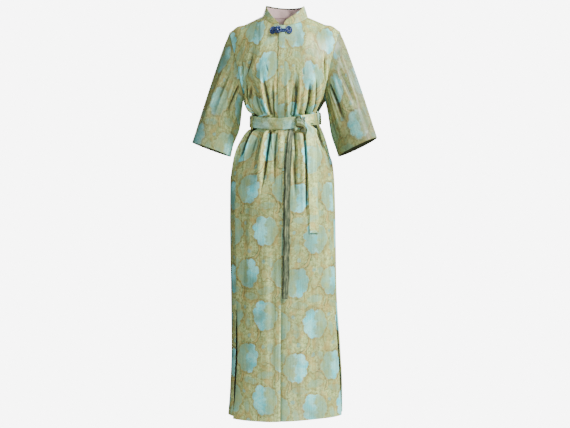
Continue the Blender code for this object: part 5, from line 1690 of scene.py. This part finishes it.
# The knot's ribbons: the points of both edges, in millimetres right, up and out from its seat, then how thick
# each is, its rows, its columns and its crown, its pleats and its place on the design.
KNOT = {
    # the turn over the belt, pleated
    "turn": (
        ((-12.5, 19.5, 1), (-12, 15, 7), (-13.5, 3, 12), (-15, -9, 10.5), (-15, -18.5, 4.5),
         (-13, -21.5, 0.8)),
        ((16, 20, 1), (17, 14, 7.5), (15, 2, 12.5), (13.5, -10, 11), (14, -20, 5), (15, -22.5, 0.8)),
        0.0024, 50, 34, 0.0030,
        ((0.20, 0.10, 0.0012), (0.38, 0.10, -0.0018), (0.60, 0.12, 0.0014), (0.80, 0.09, -0.0014)),
        (0.02, 0.10)),
    # the fold that slants across it, from its upper left to its lower right
    "fold": (
        ((-17.5, 6, 4), (-12, 8.5, 12.5), (0, 6, 16), (11, -1, 15), (18, -7, 8)),
        ((-17, -15, 3), (-13, -15, 12), (-2, -16, 15.5), (8, -19, 13), (15, -23.5, 6)),
        0.0022, 46, 24, 0.0022,
        ((0.30, 0.16, -0.0012), (0.62, 0.16, 0.0012), (0.85, 0.10, -0.0008)), (0.05, 0.02)),
    # the short end's tip, turned down at the lower left
    "tip": (
        ((-22, -14, 3), (-20.5, -23, 5), (-17.2, -33, 4.2)),
        ((-3, -14, 5), (-7, -22, 7), (-16.4, -33, 4.6)),
        0.0018, 26, 16, 0.0012, ((0.5, 0.2, 0.0006),), (0.09, 0.05)),
    # the end that leaves below it, brown and gold, behind the wide end, in painted shade
    "under": (
        ((-1, -17, 4), (1, -26, 6), (4, -35, 4.8)),
        ((23, -15, 4), (22, -26, 6.2), (22.5, -37, 4.8)),
        0.0020, 26, 18, 0.0016, ((0.35, 0.16, -0.0008), (0.70, 0.16, 0.0008)), (0.03, 0.01)),
}


def knot_pieces(finishes):
    """The knot: the belt turned over itself, its short fold at the left and the two ends leaving it."""
    seat, right, up, out = knot_frame()

    def edge(points):
        return [seat + (right * r + up * u + out * o) / 1000 for r, u, o in points]

    return [add_ribbon("belt_knot_" + name, edge(one), edge(other), out, finish, *rest)
            for (name, (one, other, *rest)), finish in zip(KNOT.items(), finishes)]


# The upper and lower edge of the wide end's start, along the belt: degrees, then millimetres above the belt's
# middle and out from the waist.
HEAD_UPPER = ((60, 19, 7.2), (52, 18.5, 8), (43, 19, 11), (33.5, 19, 17.5), (35.6, 6, 19.5), (38.4, -8, 17))
HEAD_LOWER = ((60, -15, 7.2), (58, -14, 8.2), (55.5, -12, 10), (53, -10, 12), (52, -12, 13),
              (51.5, -16, 12.5))
# The last two points of each edge lie over the skirt: x by edge, z, and how far out by edge.
HEAD_X = ((0.0790, 0.1065), (0.0785, 0.1075))
HEAD_Z = (-0.4030, -0.4130)
HEAD_OUT = ((0.0085, 0.0080), (0.0060, 0.0060))


def wide_tail_head(finish):
    """The wide end's start: along the belt from the left seam, then bent down over the knot's side."""
    ends = []
    for xs, z, outs in zip(HEAD_X, HEAD_Z, HEAD_OUT):
        seats, out = skirt_at(np.array(xs), z)
        ends.append(seats + out * np.array(outs)[:, None])
    upper, lower = ([belt_point(np.array(float(angle)), high / 1000, off / 1000) for angle, high, off in edge]
                    + [end[k] for end in ends] for k, edge in enumerate((HEAD_UPPER, HEAD_LOWER)))
    return add_ribbon("belt_tail_head", upper, lower, knot_frame()[3], finish, BELT_THICK, 90, 26, 0.0016,
                      ((0.25, 0.14, -0.0010), (0.55, 0.18, 0.0010), (0.80, 0.12, -0.0010)), (0.06, 0.40))


# --- the pieces ------------------------------------------------------------------------------------
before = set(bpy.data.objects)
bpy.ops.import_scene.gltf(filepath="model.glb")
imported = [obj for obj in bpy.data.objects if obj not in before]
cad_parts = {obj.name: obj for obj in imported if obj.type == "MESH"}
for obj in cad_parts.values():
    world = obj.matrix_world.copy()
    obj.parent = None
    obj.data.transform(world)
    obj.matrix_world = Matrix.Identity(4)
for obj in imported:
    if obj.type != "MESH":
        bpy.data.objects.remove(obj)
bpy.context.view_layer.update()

brocade_cloth = brocade("brocade")
belt_cloth = brocade("belt_brocade", 0.92, 0.6, 0.62)
# Lighter and darker copies of the belt's brocade: painted light on the wide end, painted shade in the knot.
painted_light_belt_cloth = brocade("belt_brocade_painted_light", 1.42, 0.4)
painted_shade_belt_cloth = brocade("belt_brocade_painted_shade", 0.58, 0.6, 0.3)
painted_deep_shade_belt_cloth = brocade("belt_brocade_painted_deep_shade", 0.24, 0.6, 0.5)
# The sleeves' brocade is a darkened copy as painted shade, the wearer's left sleeve darker still.
sleeve_cloth = brocade("sleeve_brocade", 0.72, 0.9, 0.35)
shaded_sleeve_cloth = brocade("sleeve_brocade_shaded", 0.48, 0.9, 0.30)
# Plain dark cloth for the narrow end, much darker than the belt's brocade: painted shade over the whole end,
# with lighter streaks.
painted_shade_tail_cloth = plain_cloth("belt_tail_painted_shade", (0.105, 0.138, 0.076), (0.052, 0.074, 0.040), 0.60, 0.1, 1000.0,
                         (0.235, 0.262, 0.130))
# The back of the brocade, on every inner face: its near black is partly its own colour and partly painted
# shade inside the gown and the collar.
back_and_painted_shade_cloth = plain_cloth("brocade_back_painted_shade", (0.060, 0.068, 0.026), (0.035, 0.040, 0.018), 0.75, 0.05, 1100.0)
lining = plain_cloth("lining", (0.700, 0.510, 0.490), (0.600, 0.430, 0.410), 0.60)
satin = satin_cord("frog_satin")
thread = thread_paint("thread", (0.230, 0.220, 0.110))

front_right, right_points, right_normals = add_front("front_right", -1, brocade_cloth, back_and_painted_shade_cloth)
front_left, left_points, left_normals = add_front("front_left", 1, brocade_cloth, back_and_painted_shade_cloth)
back, back_points, back_normals = add_back("back", brocade_cloth, back_and_painted_shade_cloth)
sleeve_right, right_rings, right_ring_normals = add_sleeve("sleeve_right", -1, sleeve_cloth, back_and_painted_shade_cloth)
sleeve_left, left_rings, left_ring_normals = add_sleeve("sleeve_left", 1, shaded_sleeve_cloth, back_and_painted_shade_cloth)
lap, lap_under, lap_normals = add_lap("lap_band", brocade_cloth, back_and_painted_shade_cloth)
collar, collar_lining = add_collar("collar", "collar_lining", brocade_cloth, back_and_painted_shade_cloth, lining)
neck_lining = add_neck_lining("neck_lining", lining)
band = add_band("belt_band", belt_cloth)
# The knot's turn and lower end are in the darkest copy and its slanting fold in a darker one: painted shade.
knot = knot_pieces((painted_deep_shade_belt_cloth, painted_shade_belt_cloth, belt_cloth, painted_deep_shade_belt_cloth))
# The wide end is in the lighter copy: painted light.
tail_head = wide_tail_head(painted_light_belt_cloth)
wide_tail = drape_tail(
    "belt_tail_wide", WIDE_TAIL, 22, painted_light_belt_cloth, (0.03, 0.11), 0.0006, 0.0006,
    ((0.35, -0.50, 0.30, 0.10, -0.0012, 1.0), (0.70, -0.62, 0.25, 0.16, 0.0010, -0.6),
     (0.50, -0.735, 0.60, 0.02, 0.0006, 0.0)))
narrow_tail = drape_tail(
    "belt_tail_narrow", NARROW_TAIL, 24, painted_shade_tail_cloth, (0.10, 0.02), 0.0010, 0.0016,
    ((0.14, -0.70, 0.12, 0.60, -0.0030, 0.0), (0.30, -0.70, 0.12, 0.60, 0.0026, 0.0),
     (0.78, -0.70, 0.12, 0.60, -0.0022, 0.0), (0.55, -0.48, 0.35, 0.08, 0.0012, 1.5),
     (0.60, -0.60, 0.30, 0.07, -0.0010, -1.0), (0.62, -0.74, 0.30, 0.08, 0.0010, 1.0),
     (0.55, -0.87, 0.30, 0.07, -0.0010, 1.0)))
loop_right = add_loop("belt_loop_right", -1, belt_cloth)
loop_left = add_loop("belt_loop_left", 1, belt_cloth)

ball = frog_ball(FROG_KNOT_X)
for node, coils, necks, closed in (
        ("frog_right", [frog_coil(FROG_RIGHT_X, 0.0144, 0.0, 1)], [], 0),
        ("frog_left", [frog_coil(FROG_LEFT_X, 0.0146, math.pi, -1)],
         frog_neck(FROG_KNOT_X + 0.006, FROG_LEFT_X - 0.009, 0.0046, 0.0038), 0),
        ("frog_knot", ball, frog_neck(FROG_RIGHT_X + 0.009, FROG_KNOT_X - 0.004, 0.0044, 0.0036), len(ball))):
    piece = tube_mesh(node, coils + necks, [CORD] * len(coils) + [NECK_CORD] * len(necks), satin,
                      closed=range(closed))
    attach(piece, "root")
    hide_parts(node)


HEM_DEEP = 0.0285       # how far above the edge the hems are sewn
LAP_STITCH_OUT = 0.0006     # how far the lap's crown stands out where it is sewn


def sew(name, runs):
    """Rows of stitches along lines on the cloth, each with the directions out of it."""
    paths = [path for points, out in runs for path in stitch_row(points, out)]
    made = tube_mesh(name, paths, [STITCH_RADIUS] * len(paths), thread, sides=6)
    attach(made, "root")


def hem_row(points, normals):
    up = lengths(points, 0)[:, points.shape[1] // 2]
    row = int(np.argmin(np.abs(up - HEM_DEEP)))
    return points[row] + normals[row] * (HEM_DOUBLING / 2) * CLOTH, normals[row]


sew("stitches_hem", [hem_row(right_points, right_normals), hem_row(left_points, left_normals),
                     hem_row(back_points, back_normals)])
sew("stitches_cuffs", [hem_row(right_rings, right_ring_normals), hem_row(left_rings, left_ring_normals)])
sew("stitches_lap", [(lap_under[:, k] + lap_normals[:, k] * (LAP_CLEAR + CLOTH + LAP_STITCH_OUT),
                      lap_normals[:, k]) for k in (2, -3)])

FRONTS = ["cloth_front_right", "cloth_front_left"]
COLLAR, BACK, BAND = ["cloth_collar"], ["cloth_back"], ["cloth_belt_band"]
for piece, node, slot, flat, held, area, rests_on in (
        (front_right, "front_right", "brocade", (0.27, 1.40), "hung", 0.265, COLLAR),
        (front_left, "front_left", "brocade", (0.30, 1.40), "hung", 0.305, COLLAR),
        (back, "back", "brocade", (0.60, 1.42), "hung", 0.760, COLLAR),
        (sleeve_right, "sleeve_right", "brocade", (0.38, 0.40), "hung", 0.122, FRONTS[:1] + BACK),
        (sleeve_left, "sleeve_left", "brocade", (0.38, 0.40), "hung", 0.122, FRONTS[1:] + BACK),
        (lap, "lap_band", "brocade", (0.0215, 0.51), "laid", None, FRONTS),
        (collar, "collar", "brocade", (0.43, 0.044), "stretched", 0.0158, FRONTS),
        (collar_lining, "collar_lining", "lining", (0.42, 0.044), "laid", 0.0154, COLLAR),
        (neck_lining, "neck_lining", "lining", (0.21, 0.12), "hung", 0.0205, BACK),
        (band, "belt_band", "belt_brocade", (0.040, 0.72), "stretched", None, FRONTS),
        (wide_tail, "belt_tail_wide", "belt_brocade", (0.034, 0.37), "hung", None, ["cloth_belt_tail_head"]),
        (tail_head, None, "belt_brocade", (0.034, 0.09), "folded", None, BAND),
        (narrow_tail, "belt_tail_narrow", "belt_brocade", (0.030, 0.59), "hung", None,
         ["cloth_belt_knot_turn"]),
        (knot[0], "belt_knot", "belt_brocade", (0.031, 0.056), "folded", None, BAND),
        (knot[1], None, "belt_brocade", (0.025, 0.045), "folded", None, BAND),
        (knot[2], None, "belt_brocade", (0.018, 0.019), "folded", None, BAND),
        (knot[3], None, "belt_brocade", (0.023, 0.023), "folded", None, BAND),
        (loop_right, "belt_loop_right", "belt_brocade", (0.016, 0.060), "laid", None, BAND),
        (loop_left, "belt_loop_left", "belt_brocade", (0.016, 0.060), "laid", None, BAND)):
    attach(piece, "root")
    if node:
        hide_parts(node)
    list(rests_on)

# --- light, floor and view -------------------------------------------------------------------------
AIM = (0.0, 0.0, -0.6895)
CAMERA_TURN = math.radians(4.5)
CAMERA_AWAY = 4.2
FILM_WIDE = 36.0
PHOTO_WIDE = 570.0      # pixels
FOCAL_PIXELS = 1200.0
PAPER = (0.98, 0.98, 0.98)     # what the camera sees behind the gown, and how strongly
PAPER_POWER = 7.57
ROOM = (0.82, 0.86, 0.90)      # the faint light that the gown gets from all round
ROOM_POWER = 0.06
FLOOR_Z = -1.60
FLOOR_RADIUS = 0.55
FLOOR_CORNERS = 64

camera = bpy.data.cameras.new("camera")
camera.sensor_width = FILM_WIDE
camera.lens = FOCAL_PIXELS / PHOTO_WIDE * FILM_WIDE
bpy.context.scene.camera = put(
    "camera", camera, rotation_euler=(math.radians(90.0), 0.0, CAMERA_TURN),
    location=(CAMERA_AWAY * math.sin(CAMERA_TURN), -CAMERA_AWAY * math.cos(CAMERA_TURN), AIM[2]))


def softbox(name, place, size, power, colour=(1.0, 1.0, 1.0), target=AIM):
    light = bpy.data.lights.new(name, "AREA")
    light.shape = "RECTANGLE"
    light.size, light.size_y = size
    light.energy = power
    light.color = colour
    x, y, z = np.array(place) - np.array(target)
    tip = math.atan2(z, math.hypot(x, y))
    put(name, light, location=place, rotation_euler=(math.radians(90.0) - tip, 0.0, math.atan2(x, -y)))


softbox("key", (2.9, -1.35, 1.8), (0.5, 0.8), 322.0, (1.0, 0.99, 0.975))
softbox("low", (0.9, -2.6, -2.0), (0.7, 0.7), 62.0, (1.0, 0.99, 0.97), (0.0, 0.0, -1.1))
softbox("fill", (-2.2, -2.2, 0.4), (0.6, 0.9), 26.0, (0.97, 0.985, 1.0))
softbox("front", (0.1, -1.9, 2.1), (0.6, 0.6), 34.0, (1.0, 1.0, 1.0), (0.0, 0.0, -0.2))
softbox("rim", (2.2, 1.2, 0.7), (0.6, 1.4), 36.0)
softbox("back_fill", (-1.2, 3.2, 0.9), (1.0, 1.2), 135.0)

world = bpy.data.worlds.new("studio")
bpy.context.scene.world = world
world.use_nodes = True
nodes, links = world.node_tree.nodes, world.node_tree.links
dim = nodes.new("ShaderNodeBackground")
for node, colour, power in ((nodes["Background"], PAPER, PAPER_POWER), (dim, ROOM, ROOM_POWER)):
    node.inputs["Color"].default_value = (*colour, 1.0)
    node.inputs["Strength"].default_value = power
path = nodes.new("ShaderNodeLightPath")
either = nodes.new("ShaderNodeMixShader")
links.new(path.outputs["Is Camera Ray"], either.inputs[0])
links.new(dim.outputs[0], either.inputs[1])
links.new(nodes["Background"].outputs[0], either.inputs[2])
links.new(either.outputs[0], nodes["World Output"].inputs["Surface"])

floor_mesh = bpy.data.meshes.new("floor")
turns = [2 * math.pi * k / FLOOR_CORNERS for k in range(FLOOR_CORNERS)]
floor_mesh.from_pydata([(FLOOR_RADIUS * math.cos(turn), FLOOR_RADIUS * math.sin(turn), FLOOR_Z)
                        for turn in turns], [], [tuple(range(FLOOR_CORNERS))])
floor_mesh.materials.append(Paint("floor").finish(Base_Color=(0.75, 0.75, 0.75, 1.0), Roughness=0.8))
put("floor", floor_mesh)
